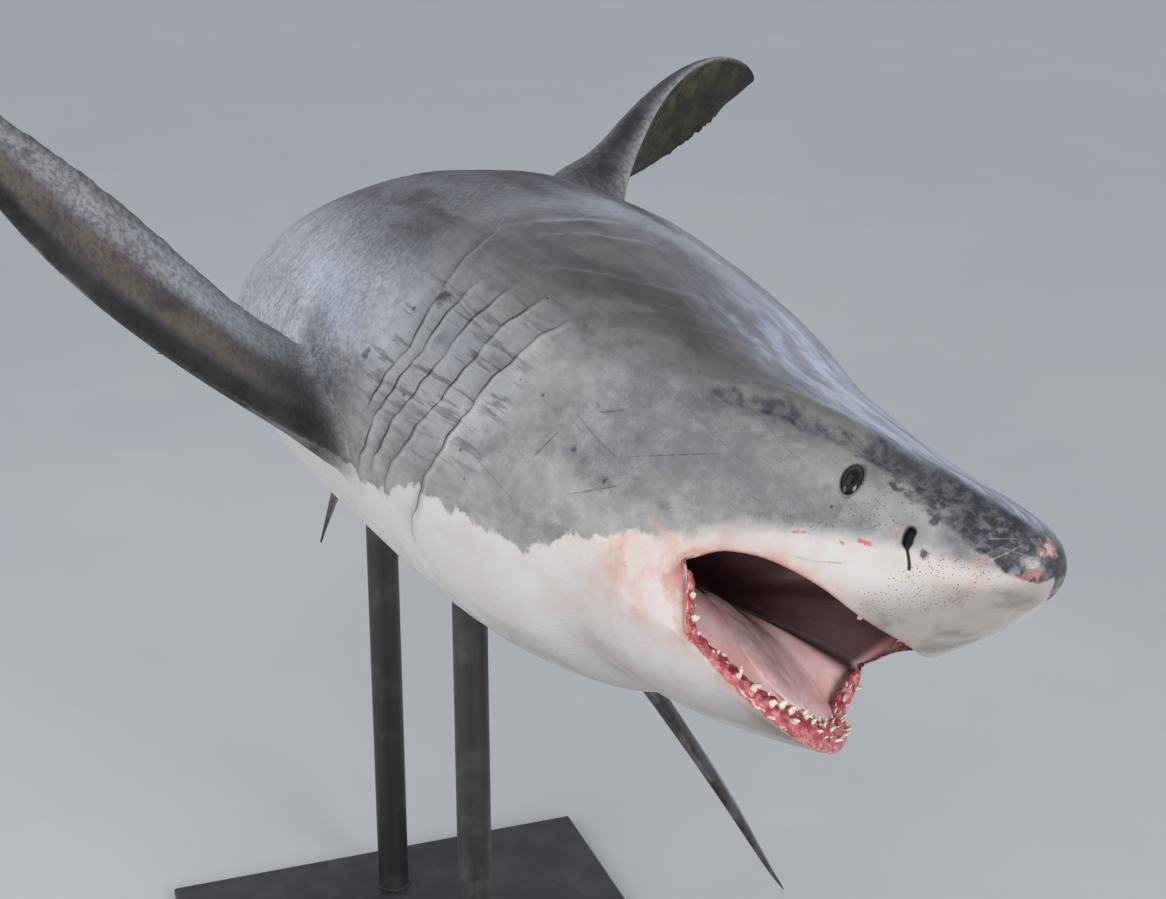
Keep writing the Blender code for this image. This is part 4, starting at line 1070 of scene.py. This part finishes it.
times, plus, minus, most = (chained(name) for name in ('MULTIPLY', 'ADD', 'SUBTRACT', 'MAXIMUM'))


def size_of(value):
    """A value without its sign."""
    return put(tree_of(value), "Math", {0: value}, operation='ABSOLUTE').outputs[0]


def attribute(tree, name):
    return put(tree, "Attribute", attribute_name=name).outputs["Fac"]


def vector_math(operation, value, other):
    return put(tree_of(value), "VectorMath", {0: value, 1: tuple(other)}, operation=operation)


def noise_of(place, scale, detail, roughness=0.5):
    values = {"Vector": place, "Scale": scale, "Detail": detail, "Roughness": roughness}
    return put(tree_of(place), "TexNoise", values).outputs["Fac"]


def cells_of(place, scale, chance=1.0):
    values = {"Vector": place, "Scale": scale, "Randomness": chance}
    return put(tree_of(place), "TexVoronoi", values).outputs["Distance"]


def spot_mask(place, spots, wobble):
    """Mask of round marks, each a station, an angle and a radius on the hide."""
    masks = []
    for s, angle, radius in spots:
        distance = vector_math('DISTANCE', place, skin_point(s, -angle)).outputs["Value"]
        uneven = plus(distance, times(wobble, radius * 1.7))
        masks.append(stepped(uneven, radius * 0.3, radius * 1.35, 1.0, 0.0))
    return most(*masks)


def streak_mask(place, streaks, wobble):
    """Mask of straight marks, each from one station and angle to another, with its half width."""
    masks = []
    for s, angle, end_s, end_angle, half_width in streaks:
        start, out = skin_point(s, -angle), skin_normal(np.array(s), -angle)
        run = skin_point(end_s, -end_angle) - start
        across = np.cross(run, out)
        offset = vector_math('SUBTRACT', place, start).outputs["Vector"]
        aside, along, above = (vector_math('DOT_PRODUCT', offset, way).outputs["Value"]
                               for way in (across / np.linalg.norm(across), run / (run @ run), out))
        aside = plus(size_of(aside), times(wobble, 2.6 * half_width))
        ends = plus(size_of(minus(along, 0.5)), times(wobble, 0.25))
        masks.append(times(stepped(aside, 0.0, 1.5 * half_width, 1.0, 0.0), stepped(ends, 0.20, 0.52, 1.0, 0.0),
                           stepped(above, -0.12, -0.08)))
    return most(*masks)


def stretched(place, scale):
    return vector_math('MULTIPLY', place, scale).outputs["Vector"]


def scratches(place, way, count, width, seed):
    """Thin, nearly straight lines: level sets of a noise that runs along one direction, kept in patches."""
    along = times(vector_math('DOT_PRODUCT', place, way).outputs["Value"], count)
    along = plus(along, times(noise_of(place, 5.0, 1.0), 1.1), seed)
    noise = put(tree_of(place), "TexNoise", {"W": along, "Scale": 1.0, "Detail": 0.0}, noise_dimensions='1D')
    moved = vector_math('ADD', place, (seed, seed, seed)).outputs["Vector"]
    level = size_of(minus(noise.outputs["Fac"], 0.5))
    return times(stepped(level, 0.0, width, 1.0, 0.0), mottle(moved, 11.0, 0.55, 0.62, 1.0))


def shark_hide():
    surface, tree, shader = shader_of("shark_hide")
    place = put(tree, "Attribute", attribute_name="rest").outputs["Vector"]
    side, snout, cap, back, dark, pale, sheen, under, olive_face_shade, pink, pores, gills, lining, bed, fin, tan = (
        attribute(tree, name) for name in MASKS)
    run = put(tree, "SeparateXYZ", {0: place}).outputs["X"]
    trunk = stepped(run, -1.15, -0.90, 1.0, 0.0)
    broad, patchy = mottle(place, 3.2, 0.35, 0.65), mottle(place, 11.0, 0.38, 0.66)
    fine, grain = mottle(place, 60.0, 0.35, 0.70), mottle(place, 420.0, 0.30, 0.75, 2.0)
    uneven = minus(mottle(place, 90.0, 0.2, 0.8), 0.5)

    # the grey of the upper side, browner along the back, with dark bars across the gill slits
    tone = plus(times(broad, 0.32), times(patchy, 0.17), times(mottle(place, 36.0, 0.36, 0.66, 6.0), 0.23),
                times(grain, 0.28))
    streaks = mottle(stretched(place, (2.0, 14.0, 14.0)), 1.0, 0.42, 0.66, 5.0)
    bars = mottle(stretched(place, (9.0, 75.0, 75.0)), 1.0, 0.52, 0.60, 5.0)
    grey = layered(
        mixed(stepped(tone, 0.18, 0.86), GREY, PALE_GREY),
        (times(mottle(place, 6.0, 0.42, 0.62), 0.48), BEIGE),
        # the trunk's blue grey: partly the skin's own tone, partly painted sky reflection
        (times(trunk, between(patchy, 0.45, 0.85)), BLUE_GREY),
        (times(gills, 0.40), BLUE_GREY),
        (times(back, between(streaks, 0.72, 1.0), between(trunk, 1.0, 0.94)), mixed(patchy, BROWN, DARK_BROWN)),
        (times(grain, 0.22), DARK_BROWN),
        (times(mottle(place, 17.0, 0.54, 0.70, 7.0), 0.40), DARK_BROWN),
        # the bars are darkest where the slits' painted shade lies
        (times(bars, gills, plus(times(dark, 0.8), 0.55)), NAVY))

    # the white of the underside, rosy round the mouth, greyed under the snout as painted shade, and the torn line
    # between both
    white = layered(
        mixed(times(patchy, 0.35), WHITE, WARM_WHITE),
        (times(pink, between(mottle(place, 26.0, 0.36, 0.70, 6.0), 0.20, 0.85)), ROSY),
        (times(under, between(patchy, 0.60, 0.92)), SNOUT_UNDERSIDE_SHADE))
    torn = noise_of(stretched(place, (28.0, 17.0, 17.0)), 1.0, 8.0, 0.66)
    ragged = plus(side, times(minus(torn, 0.5), minus(0.085, times(snout, 0.050))))
    half = plus(times(snout, 0.022), 0.0045)
    above = stepped(ragged, times(half, -1.0), half)

    # the snout's dark cap with painted shade in the brow crease, a painted sky reflection as a blue sheen on the
    # head's top,
    # and the fins' colours, with painted shade and a painted front-edge highlight on the first dorsal
    blots = mottle(stretched(place, (17.0, 40.0, 40.0)), 1.0, 0.25, 0.75, 8.0)
    # the cap's darkness, with the painted shade of the brow crease and under the snout's tip, thinner on the head's
    # top as painted highlight
    ink = stepped(plus(cap, times(minus(blots, 0.5), 0.8)), 0.30, 0.84)
    sheen_streaks = mottle(stretched(place, (4.0, 42.0, 42.0)), 1.0, 0.36, 0.66, 4.0)
    colour = layered(
        mixed(above, white, grey),
        (times(ink, between(mottle(place, 62.0, 0.36, 0.58, 9.0), 0.50, 0.97)), mixed(fine, NAVY, NEAR_BLACK)),
        (times(sheen, between(sheen_streaks, 0.30, 0.88)), PAINTED_SHEEN),
        (tan, mixed(patchy, TAN, BROWN)),
        # painted shade on the first dorsal's left face and tip, and the fins' blackish edges and tips
        (olive_face_shade, mixed(mottle(place, 24.0, 0.36, 0.58, 6.0), OLIVE_SHADE, DARK_OLIVE_SHADE)),
        (times(fin, between(patchy, 1.0, 0.80)), FIN_EDGE_AND_SHADE),
        # painted highlight on the gill flaps' edges and along the first dorsal's front edge
        (times(pale, 0.50), PALE_GREY))

    # fine ripples on the trunk and fins: painted shade in the troughs, and painted highlights on the crests where the
    # skin is plain grey
    ripple = noise_of(stretched(place, RIPPLES), 1.0, 3.0, 0.55)
    rippled = stepped(run, -1.12, -0.92, 1.0, 0.15)
    trough_shade = times(stepped(ripple, 0.36, 0.58, 0.46, 0.0), rippled, between(above, 0.12, 1.0))
    crest_highlight = times(stepped(ripple, 0.50, 0.68, 0.0, 0.36), rippled, above, minus(1.0, most(olive_face_shade, fin, back)))
    colour = layered(colour, (trough_shade, DARK_BROWN), (crest_highlight, PAINTED_SHEEN))

    # spots, scars, sores, streaks, scratches, flecks and the pores of the snout
    lines = times(most(times(scratches(place, SCRATCH_WAY, 17.0, 0.007, 3.0), 0.5), streak_mask(place, CUTS, uneven)),
                  above, minus(1.0, fin))
    flecks, cells = (cells_of(place, *kind) for kind in (FLECKS, PORES))
    colour = layered(
        colour,
        (times(spot_mask(place, SPOTS, uneven), 0.85), NAVY),
        (times(spot_mask(place, SCARS, uneven), between(fine, 0.35, 0.85)), mixed(fine, PINK, WARM_WHITE)),
        (times(streak_mask(place, PINK_STREAKS, uneven), 0.35), PINK),
        (times(streak_mask(place, RED_STREAKS, uneven), 0.8), RED),
        (times(streak_mask(place, PALE_SCARS, uneven), 0.35), WARM_WHITE),
        (times(spot_mask(place, SORES, uneven), 0.55), RED),
        (times(lines, 0.60), NEAR_BLACK),
        (times(stepped(flecks, 0.035, 0.060, 0.8, 0.0), above), NEAR_BLACK),
        (times(stepped(cells, 0.14, 0.24, 1.0, 0.0), stepped(pores, 0.16, 0.40), 0.85), NEAR_BLACK))

    # the mouth's lining: painted shade on the roof and darkening deep into the throat, a pale bed, red at the lips;
    # then painted shade
    # in every opening: the eye sockets and lid folds, the nostrils and the gill slits
    flesh = mixed(stepped(lining, 0.45, 0.90), mixed(patchy, FLESH, PALE_FLESH), MAROON_SHADE)
    shaded_roof = mixed(stepped(lining, 0.01, 0.10), flesh, mixed(stepped(lining, 0.30, 0.75), ROOF_SHADE, MAROON_SHADE))
    inner = mixed(stepped(lining, 0.015, 0.07), LIP_RED, mixed(stepped(bed, 0.30, 0.60), shaded_roof, flesh))
    colour = layered(
        colour,
        (stepped(pink, 1.9, 2.9, 0.0, 0.70), LIP_RED),
        (stepped(lining, 0.004, 0.05), inner),
        (times(dark, 0.94), NEAR_BLACK))

    feed(shader, "Base Color", colour)
    feed(shader, "Roughness", plus(times(fine, 0.12), times(patchy, 0.08), times(back, trunk, 0.38), 0.34))
    bare = times(between(times(back, trunk), 1.0, 0.12), between(most(olive_face_shade, fin, tan), 1.0, 0.12))
    feed(shader, "Coat Weight", times(between(broad, 0.35, 0.60), minus(1.0, dark), bare))
    shader.inputs["Coat Roughness"].default_value = COAT_ROUGHNESS
    shader.inputs["IOR"].default_value = SKIN_IOR
    swell = stepped(run, -1.10, -0.80, TRUNK_RIPPLE, HEAD_RIPPLE)
    bumped(shader, plus(times(ripple, swell), times(grain, GRAIN_HEIGHT), times(lines, -SCRATCH_DEPTH)), 0.5, 1.0)
    return surface


joined.materials.clear()
joined.materials.append(shark_hide())
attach(hide, "root")
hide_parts("head", "lower_jaw", "gill_region", "trunk_front", "trunk_middle", "trunk_rear", "tail_stalk",
            *FINS, "caudal_fin_upper", "caudal_fin_lower")

# --- eyes ---------------------------------------------------------------------------------------------------
# Two wet, almost black eyeballs, taller than long, sitting deep behind the lid rims of their sockets.  The iris
# is a dark blue-black ring with a brown cast round a black pupil; each ball is cast, tinted and lacquered.
EYE_BLACK, IRIS_BLUE, IRIS_BROWN = (0.0035, 0.0035, 0.0045), (0.010, 0.014, 0.026), (0.030, 0.017, 0.012)
EYE_SEGMENTS, EYE_SPECULAR, EYE_COAT, EYE_COAT_ROUGHNESS = (64, 40), 0.15, 0.35, 0.03


def eyeball_finish():
    surface, tree, shader = shader_of("eyeball")
    facing = attribute(tree, "facing")
    place = put(tree, "TexCoord").outputs["Object"]
    fibres = mottle(place, 300.0, 0.30, 0.70, 3.0)
    iris = mixed(mottle(place, 70.0, 0.40, 0.62), IRIS_BLUE, IRIS_BROWN)
    ring = times(stepped(facing, 0.55, 0.72), stepped(facing, 0.86, 0.91, 1.0, 0.0), between(fibres, 0.55, 1.0))
    feed(shader, "Base Color", mixed(ring, EYE_BLACK, iris))
    feed(shader, "Roughness", between(fibres, 0.10, 0.16))
    shader.inputs["Specular IOR Level"].default_value = EYE_SPECULAR
    shader.inputs["Coat Weight"].default_value = EYE_COAT
    shader.inputs["Coat Roughness"].default_value = EYE_COAT_ROUGHNESS
    return surface


eye_finish = eyeball_finish()
for name, side in (("eye_right", -1), ("eye_left", 1)):
    centre, out, above, ahead = eye_axes(side)
    tool = bmesh.new()
    bmesh.ops.create_uvsphere(tool, u_segments=EYE_SEGMENTS[0], v_segments=EYE_SEGMENTS[1], radius=1.0)
    facing = [vert.co.z for vert in tool.verts]
    for vert in tool.verts:
        tall, long, deep = np.array(vert.co) * np.array(EYE_BALL)
        place = centre + above * tall + ahead * long + out * (deep - EYE_SINK)
        vert.co = lay_along_spine(place)
    bmesh.ops.recalc_face_normals(tool, faces=tool.faces)
    ball = placed(name + "_ball", mesh_from(tool, name + "_ball"))
    mark(ball.data, "facing", facing)
    smooth(ball.data)
    ball.data.materials.append(eye_finish)
    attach(ball, "root")
    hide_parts(name)

# --- gums and teeth -----------------------------------------------------------------------------------------
# A swollen band of wet pink gum inside each lip, with loose, uneven rows of ivory teeth growing from it: narrow
# spikes below, short broad blades above.  Gum and teeth are one casting, painted and varnished.
GUM_ALONG, GUM_AROUND = 170, 26
GUM_LOWER = dict(lower=True, inset=0.002, width=(0.018, 0.060), rise=(0.006, 0.014), sink=0.024, reach=0.97, seed=11)
GUM_UPPER = dict(lower=False, inset=0.012, width=(0.012, 0.030), rise=(0.005, 0.010), sink=0.008, reach=0.86, seed=12)
GUM_EDGE_SINK, GUM_TAPER, GUM_LUMPS, GUM_LUMP_HEIGHT = 0.0015, 0.05, 95, 0.30
GUM_SWELLS = ((0.0032, 0.021), (0.0012, 0.008))    # height and size of the gums' uneven swellings
# each row of teeth: count, share of the gum's width, height, breadth, lean back in degrees
TEETH_LOWER = ((22, 0.30, 0.0155, 0.0185, -8.0), (22, 0.54, 0.0150, 0.0175, -42.0), (18, 0.78, 0.0120, 0.0150, -62.0))
TEETH_UPPER = ((24, 0.60, 0.0220, 0.0210, -24.0), (22, 0.86, 0.0130, 0.0150, -48.0))
TOOTH_DEPTH, TOOTH_STRETCH, TOOTH_GAPS, TOOTH_FOOT = 0.36, 1.6, 0.10, 0.45
TOOTH_SIZES, TOOTH_SHIFT, TOOTH_INSET, TOOTH_TILT, TOOTH_SLANT = (0.60, 1.15), 0.22, 0.05, 20, 0.35
TOOTH_SIDES, TOOTH_SECTIONS, TOOTH_POINT, TOOTH_BOW = 10, 4, 0.20, 0.55
GUM_PINK, GUM_RED, GUM_PALE = (0.54, 0.16, 0.18), (0.32, 0.030, 0.042), (0.64, 0.38, 0.37)
IVORY, IVORY_STAIN, GUM_COAT, GUM_COAT_ROUGHNESS = (0.72, 0.66, 0.54), (0.42, 0.31, 0.18), 0.6, 0.10


def mouth_place(share, part, lower):
    """Points of the opened mouth's floor or palate (straight frame): share round the lips, part to the throat."""
    share, part = np.broadcast_arrays(np.asarray(share, float), np.asarray(part, float))
    s, angle, weight = lip_edge(np.abs(share), lower)
    lip = open_jaw(skin_point(s, angle), weight)
    back = np.stack([0 * part + PHARYNX[0], PHARYNX_HALF_WIDTH * np.abs(share), 0 * part + PHARYNX[1]], -1)
    fade = 1 - np.abs(share)**4
    swell = fade * (-FLOOR_DROP * np.sin(math.pi * part) if lower else PALATE_RISE * np.sin(math.pi * np.sqrt(part)))
    place = lip * (1 - part[..., None]) + back * part[..., None]
    place[..., 2] += swell
    place[..., 1] *= np.where(share < 0, -1.0, 1.0)
    return place


def gum_frame(gum):
    """Shares along a gum, and there: lip, inward and upward directions, width and rise of the band."""
    share = np.linspace(-gum["reach"], gum["reach"], GUM_ALONG)
    lip, inner = mouth_place(share, 0.0, gum["lower"]), mouth_place(share, 0.10, gum["lower"])
    along, inward = np.gradient(lip, axis=0), inner - lip
    up = np.cross(inward, along)
    up *= ((1 if gum["lower"] else -1) * np.sign(up[:, 2]) / np.linalg.norm(up, axis=1))[:, None]
    if gum["lower"]:
        up = np.broadcast_to(turn('Y', GAPE)[:, 2], up.shape)
        inward = np.cross(along, up) * -np.sign(np.sum(np.cross(along, up) * -inward, axis=1))[:, None]
    inward /= np.linalg.norm(inward, axis=1)[:, None]
    middle = 1 - np.abs(share / gum["reach"])**1.5
    width = gum["width"][0] + (gum["width"][1] - gum["width"][0]) * middle
    rise = gum["rise"][0] + (gum["rise"][1] - gum["rise"][0]) * middle
    return share, lip, inward, up, width, rise


def gum_band(gum):
    """Points of a closed, lumpy band along the lip, tapering to both ends (straight frame)."""
    share, lip, inward, up, width, rise = gum_frame(gum)
    around = np.radians(np.linspace(0, 360, GUM_AROUND, endpoint=False))
    taper = np.clip((gum["reach"] - np.abs(share)) / GUM_TAPER, 0, 1)**0.5 * 0.97 + 0.03
    across = (1 - np.cos(around)) / 2
    lump = 1 + GUM_LUMP_HEIGHT * np.sin(share[:, None] * GUM_LUMPS + 2 * across) * np.sin(across * math.pi)
    sink = GUM_EDGE_SINK + (gum["sink"] - GUM_EDGE_SINK) * across
    height = np.where(np.sin(around) > 0, rise[:, None] * lump, sink) * np.sin(around) * taper[:, None]
    inset = gum["inset"] + width[:, None] * (0.5 + (across - 0.5) * taper[:, None])
    points = lip[:, None] + inward[:, None] * inset[..., None] + up[:, None] * height[..., None]
    flat = points.reshape(-1, 3)
    swell = sum(tall * unevenness(flat, size, gum["seed"] + k) for k, (tall, size) in enumerate(GUM_SWELLS))
    return flat + np.repeat(up, GUM_AROUND, 0) * swell[:, None]


def teeth_points(gum, rows):
    """Feet of the teeth, with each tooth's turn and size."""
    chance = random.Random(gum["seed"])
    _, lip, inward, up, width, rise = gum_frame(gum)
    steps = np.concatenate([[0], np.cumsum(np.linalg.norm(np.diff(lip, axis=0), axis=1))])
    feet, turns, sizes = [], [], []
    for count, across, height, breadth, lean in rows:
        for k in range(count):
            if chance.random() < TOOTH_GAPS:
                continue
            at = steps[-1] * (0.04 + 0.92 * (k + 0.5 + chance.uniform(-TOOTH_SHIFT, TOOTH_SHIFT)) / count)
            i = min(int(np.searchsorted(steps, at)), len(lip) - 1)
            size = (0.55 + 0.45 * math.sin(math.pi * at / steps[-1])) * chance.uniform(*TOOTH_SIZES)
            inset = gum["inset"] + width[i] * (across + chance.uniform(-TOOTH_INSET, TOOTH_INSET))
            foot = lip[i] + inward[i] * inset + up[i] * rise[i] * TOOTH_FOOT
            run = np.cross(up[i], inward[i])
            tilt = math.radians(lean + chance.uniform(-TOOTH_TILT, TOOTH_TILT))
            slant = run * chance.uniform(-TOOTH_SLANT, TOOTH_SLANT)
            aim = up[i] * math.cos(tilt) - inward[i] * math.sin(tilt) + slant
            feet.append(foot)
            turns.append((run, aim))
            sizes.append((breadth * size, TOOTH_DEPTH * breadth * size * TOOTH_STRETCH, height * size))
    return np.array(feet), turns, sizes


def tooth_turn(run, aim, place):
    """Euler angles that stand a tooth along aim with its breadth along run, once laid on the spine."""
    axes = spine_frame(-place[0])[1]
    tall = Vector(axes @ aim).normalized()
    wide = Vector(axes @ run)
    wide = (wide - wide.dot(tall) * tall).normalized()
    return Matrix((wide, tall.cross(wide), tall)).transposed().to_euler()


def gum_and_teeth_finish():
    surface, tree, shader = shader_of("gum_and_enamel")
    place, tooth = put(tree, "TexCoord").outputs["Object"], attribute(tree, "tooth")
    gum = mixed(mottle(place, 75.0, 0.36, 0.62), GUM_PINK, GUM_RED)
    gum = mixed(mottle(place, 130.0, 0.52, 0.70), gum, GUM_PALE)
    enamel = mixed(mottle(place, 110.0, 0.45, 0.72), IVORY, IVORY_STAIN)
    enamel = mixed(stepped(tooth, 0.35, 0.75, 1.0, 0.0), enamel, GUM_RED)
    feed(shader, "Base Color", mixed(stepped(tooth, 0.05, 0.12), gum, enamel))
    grain = noise_of(place, 380.0, 4.0)
    feed(shader, "Roughness", stepped(grain, 0.3, 0.7, 0.22, 0.42))
    bumped(shader, grain, 0.5, 0.0012)
    shader.inputs["Coat Weight"].default_value = GUM_COAT
    shader.inputs["Coat Roughness"].default_value = GUM_COAT_ROUGHNESS
    return surface


def toothed_tree():
    """Joins a gum with teeth standing on its foot points; the tooth is a cone bowed to a blade."""
    tree, given, end = geometry_tree("toothed_gum", (("Feet", 'Object'), ("Sides", 'Int')), gum_finish)
    feet = grow(tree, "GeometryNodeObjectInfo", {"Object": given.outputs["Feet"]})
    cone = grow(tree, "GeometryNodeMeshCone", {"Vertices": given.outputs["Sides"], "Side Segments": TOOTH_SECTIONS,
                                               "Radius Top": TOOTH_POINT, "Radius Bottom": 0.5, "Depth": 1.0})
    height = put(tree, "SeparateXYZ", {0: grow(tree, "GeometryNodeInputPosition").outputs[0]}).outputs["Z"]
    offset = put(tree, "CombineXYZ", {"Y": times(height, height, TOOTH_BOW)})
    bowed = grow(tree, "GeometryNodeSetPosition", {"Geometry": cone.outputs["Mesh"], "Offset": offset.outputs[0]})
    marked = grow(tree, "GeometryNodeStoreNamedAttribute",
                  {"Geometry": bowed.outputs[0], "Name": "tooth", "Value": plus(height, 0.25)},
                  data_type='FLOAT', domain='POINT')
    turns = grow(tree, "GeometryNodeInputNamedAttribute", {"Name": "turn"}, data_type='FLOAT_VECTOR')
    sizes = grow(tree, "GeometryNodeInputNamedAttribute", {"Name": "size"}, data_type='FLOAT_VECTOR')
    spin = grow(tree, "FunctionNodeEulerToRotation", {0: turns.outputs["Attribute"]})
    teeth = grow(tree, "GeometryNodeInstanceOnPoints",
                 {"Points": feet.outputs["Geometry"], "Instance": marked.outputs[0],
                  "Rotation": spin.outputs[0], "Scale": sizes.outputs["Attribute"]})
    both = grow(tree, "GeometryNodeJoinGeometry")
    tree.links.new(teeth.outputs[0], both.inputs[0])
    tree.links.new(given.outputs["Geometry"], both.inputs[0])
    tree.links.new(both.outputs[0], end)
    return tree


gum_finish = gum_and_teeth_finish()
toothed = toothed_tree()
for name, gum, rows in (("gum_lower", GUM_LOWER, TEETH_LOWER), ("gum_upper", GUM_UPPER, TEETH_UPPER)):
    band = mesh_of(name + "_band", lay_along_spine(gum_band(gum)), ring_faces(GUM_ALONG, GUM_AROUND, 0))
    outward(band.data)
    band.data.attributes.new("tooth", 'FLOAT', 'POINT')
    places, turns, sizes = teeth_points(gum, rows)
    feet = mesh_of(name + "_feet", lay_along_spine(places), [])
    eulers = [tooth_turn(run, aim, place) for (run, aim), place in zip(turns, places)]
    mark(feet.data, "turn", eulers)
    mark(feet.data, "size", sizes)
    piece = with_nodes(name + "_with_teeth", band.data, toothed, {"Feet": feet, "Sides": TOOTH_SIDES})
    bpy.data.objects.remove(band, do_unlink=True)
    bpy.data.objects.remove(feet, do_unlink=True)
    outward(piece.data)
    smooth(piece.data)
    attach(piece, "root")
    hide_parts(name)

# --- tongue -------------------------------------------------------------------------------------------------
# A short, thick, immovable pad of pale wet flesh on the floor of the mouth, with a shallow furrow along its
# middle and fine bumps; cast, tinted and varnished like the gums.
TONGUE_SIZE, TONGUE_TILT, TONGUE_PART, TONGUE_SINK = (0.120, 0.082, 0.014), 20.0, 0.46, 0.011
TONGUE_FURROW, TONGUE_POINT, TONGUE_BUMPS = (0.0018, 0.14), 0.22, (0.0012, 0.03, 21)
TONGUE_SEGMENTS, TONGUE_COAT, TONGUE_COAT_ROUGHNESS = (72, 40), 0.5, 0.12
TONGUE_PALE, TONGUE_PINK, TONGUE_GREY = (0.82, 0.60, 0.60), (0.76, 0.42, 0.43), (0.62, 0.46, 0.47)


def tongue_finish():
    surface, tree, shader = shader_of("tongue_flesh")
    place = put(tree, "TexCoord").outputs["Object"]
    flesh = mixed(mottle(place, 34.0, 0.38, 0.64), TONGUE_PALE, TONGUE_PINK)
    flesh = mixed(mottle(place, 16.0, 0.46, 0.66, 6.0), flesh, TONGUE_GREY)
    feed(shader, "Base Color", flesh)
    bumps = cells_of(place, 330.0)
    feed(shader, "Roughness", stepped(bumps, 0.1, 0.7, 0.30, 0.44))
    bumped(shader, bumps, 0.4, 0.0008)
    shader.inputs["Coat Weight"].default_value = TONGUE_COAT
    shader.inputs["Coat Roughness"].default_value = TONGUE_COAT_ROUGHNESS
    return surface


tool = bmesh.new()
bmesh.ops.create_uvsphere(tool, u_segments=TONGUE_SEGMENTS[0], v_segments=TONGUE_SEGMENTS[1], radius=1.0)
local = np.array([tuple(vert.co) for vert in tool.verts])
local[:, 1] *= 1 - TONGUE_POINT * np.clip(local[:, 0], 0, 1)
middle = mouth_place(0.0, TONGUE_PART, True) * np.array([1.0, 0.0, 1.0]) - np.array([0.0, 0.0, TONGUE_SINK])
pad = local * np.array(TONGUE_SIZE)
upper = local[:, 2] > 0
furrow = TONGUE_FURROW[0] * hump(local[:, 1], TONGUE_FURROW[1]) * (1 - local[:, 0]**2)
pad[:, 2] -= np.where(upper, furrow, 0.0)
pad[:, 2] += np.where(upper, TONGUE_BUMPS[0], 0.0) * unevenness(pad, *TONGUE_BUMPS[1:])
pad = lay_along_spine(pad @ turn('Y', TONGUE_TILT).T + middle)
for vert, place in zip(tool.verts, pad):
    vert.co = place
bmesh.ops.recalc_face_normals(tool, faces=tool.faces)
tongue = placed("tongue_pad", mesh_from(tool, "tongue_pad"))
smooth(tongue.data)
tongue.data.materials.append(tongue_finish())
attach(tongue, "root")
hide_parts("tongue")

# --- studio floor, lights and camera ------------------------------------------------------------------------
# A seamless pale floor under three large soft lights: a weak cool one overhead, a strong one low on the animal's
# right and a warm one before its mouth.  The sky is brighter low down behind, for a cool sheen along the back.
FLOOR_SIZE, FLOOR_TONES, FLOOR_ROUGHNESS = 60.0, ((0.60, 0.61, 0.62), (0.64, 0.65, 0.655)), (0.55, 0.65)
SKY_COLOUR, HORIZON_COLOUR, SKY_STRENGTH = (0.86, 0.90, 0.96), (1.40, 1.56, 1.92), 0.58
LIGHT_TARGET = (0.0, -0.6, 1.3)
LIGHTS = (("overhead_softbox", (-1.6, -1.4, 5.0), 3.4, 32.0, (0.96, 0.98, 1.00)),
          ("side_softbox", (-5.4, -1.4, 2.4), 3.4, 145.0, (1.00, 0.98, 0.96)),
          ("front_softbox", (1.5, -4.7, 1.9), 1.8, 115.0, (1.00, 0.97, 0.94)))
CAMERA_PLACE, CAMERA_TURN, CAMERA_LENS = (-1.121, -3.718, 2.827), (68.0, 0.0, -19.77), 74.1


def studio_floor_finish():
    surface, tree, shader = shader_of("studio_floor")
    place = put(tree, "TexCoord").outputs["Object"]
    cloud = mottle(place, 0.6, 0.35, 0.65)
    feed(shader, "Base Color", mixed(cloud, *FLOOR_TONES))
    feed(shader, "Roughness", between(cloud, *FLOOR_ROUGHNESS))
    return surface


half = FLOOR_SIZE / 2
floor = mesh_of("studio_floor", [(-half, -half, 0), (half, -half, 0), (half, half, 0), (-half, half, 0)],
                [(0, 1, 2, 3)])
floor.data.materials.append(studio_floor_finish())

sky = bpy.data.worlds.new("studio")
sky.use_nodes = True
way = put(sky.node_tree, "SeparateXYZ", {0: put(sky.node_tree, "TexCoord").outputs["Generated"]})
low = stepped(way.outputs["Z"], 0.02, 0.42, 1.0, 0.0)
behind = stepped(way.outputs["Y"], 0.10, 0.80)
glow = mixed(times(low, behind), SKY_COLOUR, HORIZON_COLOUR)
feed(sky.node_tree.nodes["Background"], "Color", glow)
feed(sky.node_tree.nodes["Background"], "Strength", SKY_STRENGTH)
bpy.context.scene.world = sky
for name, place, size, power, colour in LIGHTS:
    lamp = placed(name, bpy.data.lights.new(name, 'AREA'))
    lamp.data.energy, lamp.data.size, lamp.data.color = power, size, colour
    lamp.location = place
    lamp.visible_camera = False
    lamp.rotation_euler = (Vector(LIGHT_TARGET) - Vector(place)).to_track_quat('-Z', 'Y').to_euler()

camera = placed("camera", bpy.data.cameras.new("camera"))
camera.location = CAMERA_PLACE
camera.rotation_euler = [math.radians(angle) for angle in CAMERA_TURN]
camera.data.lens = CAMERA_LENS
bpy.context.scene.camera = camera
bpy.context.scene.view_settings.view_transform = 'Standard'
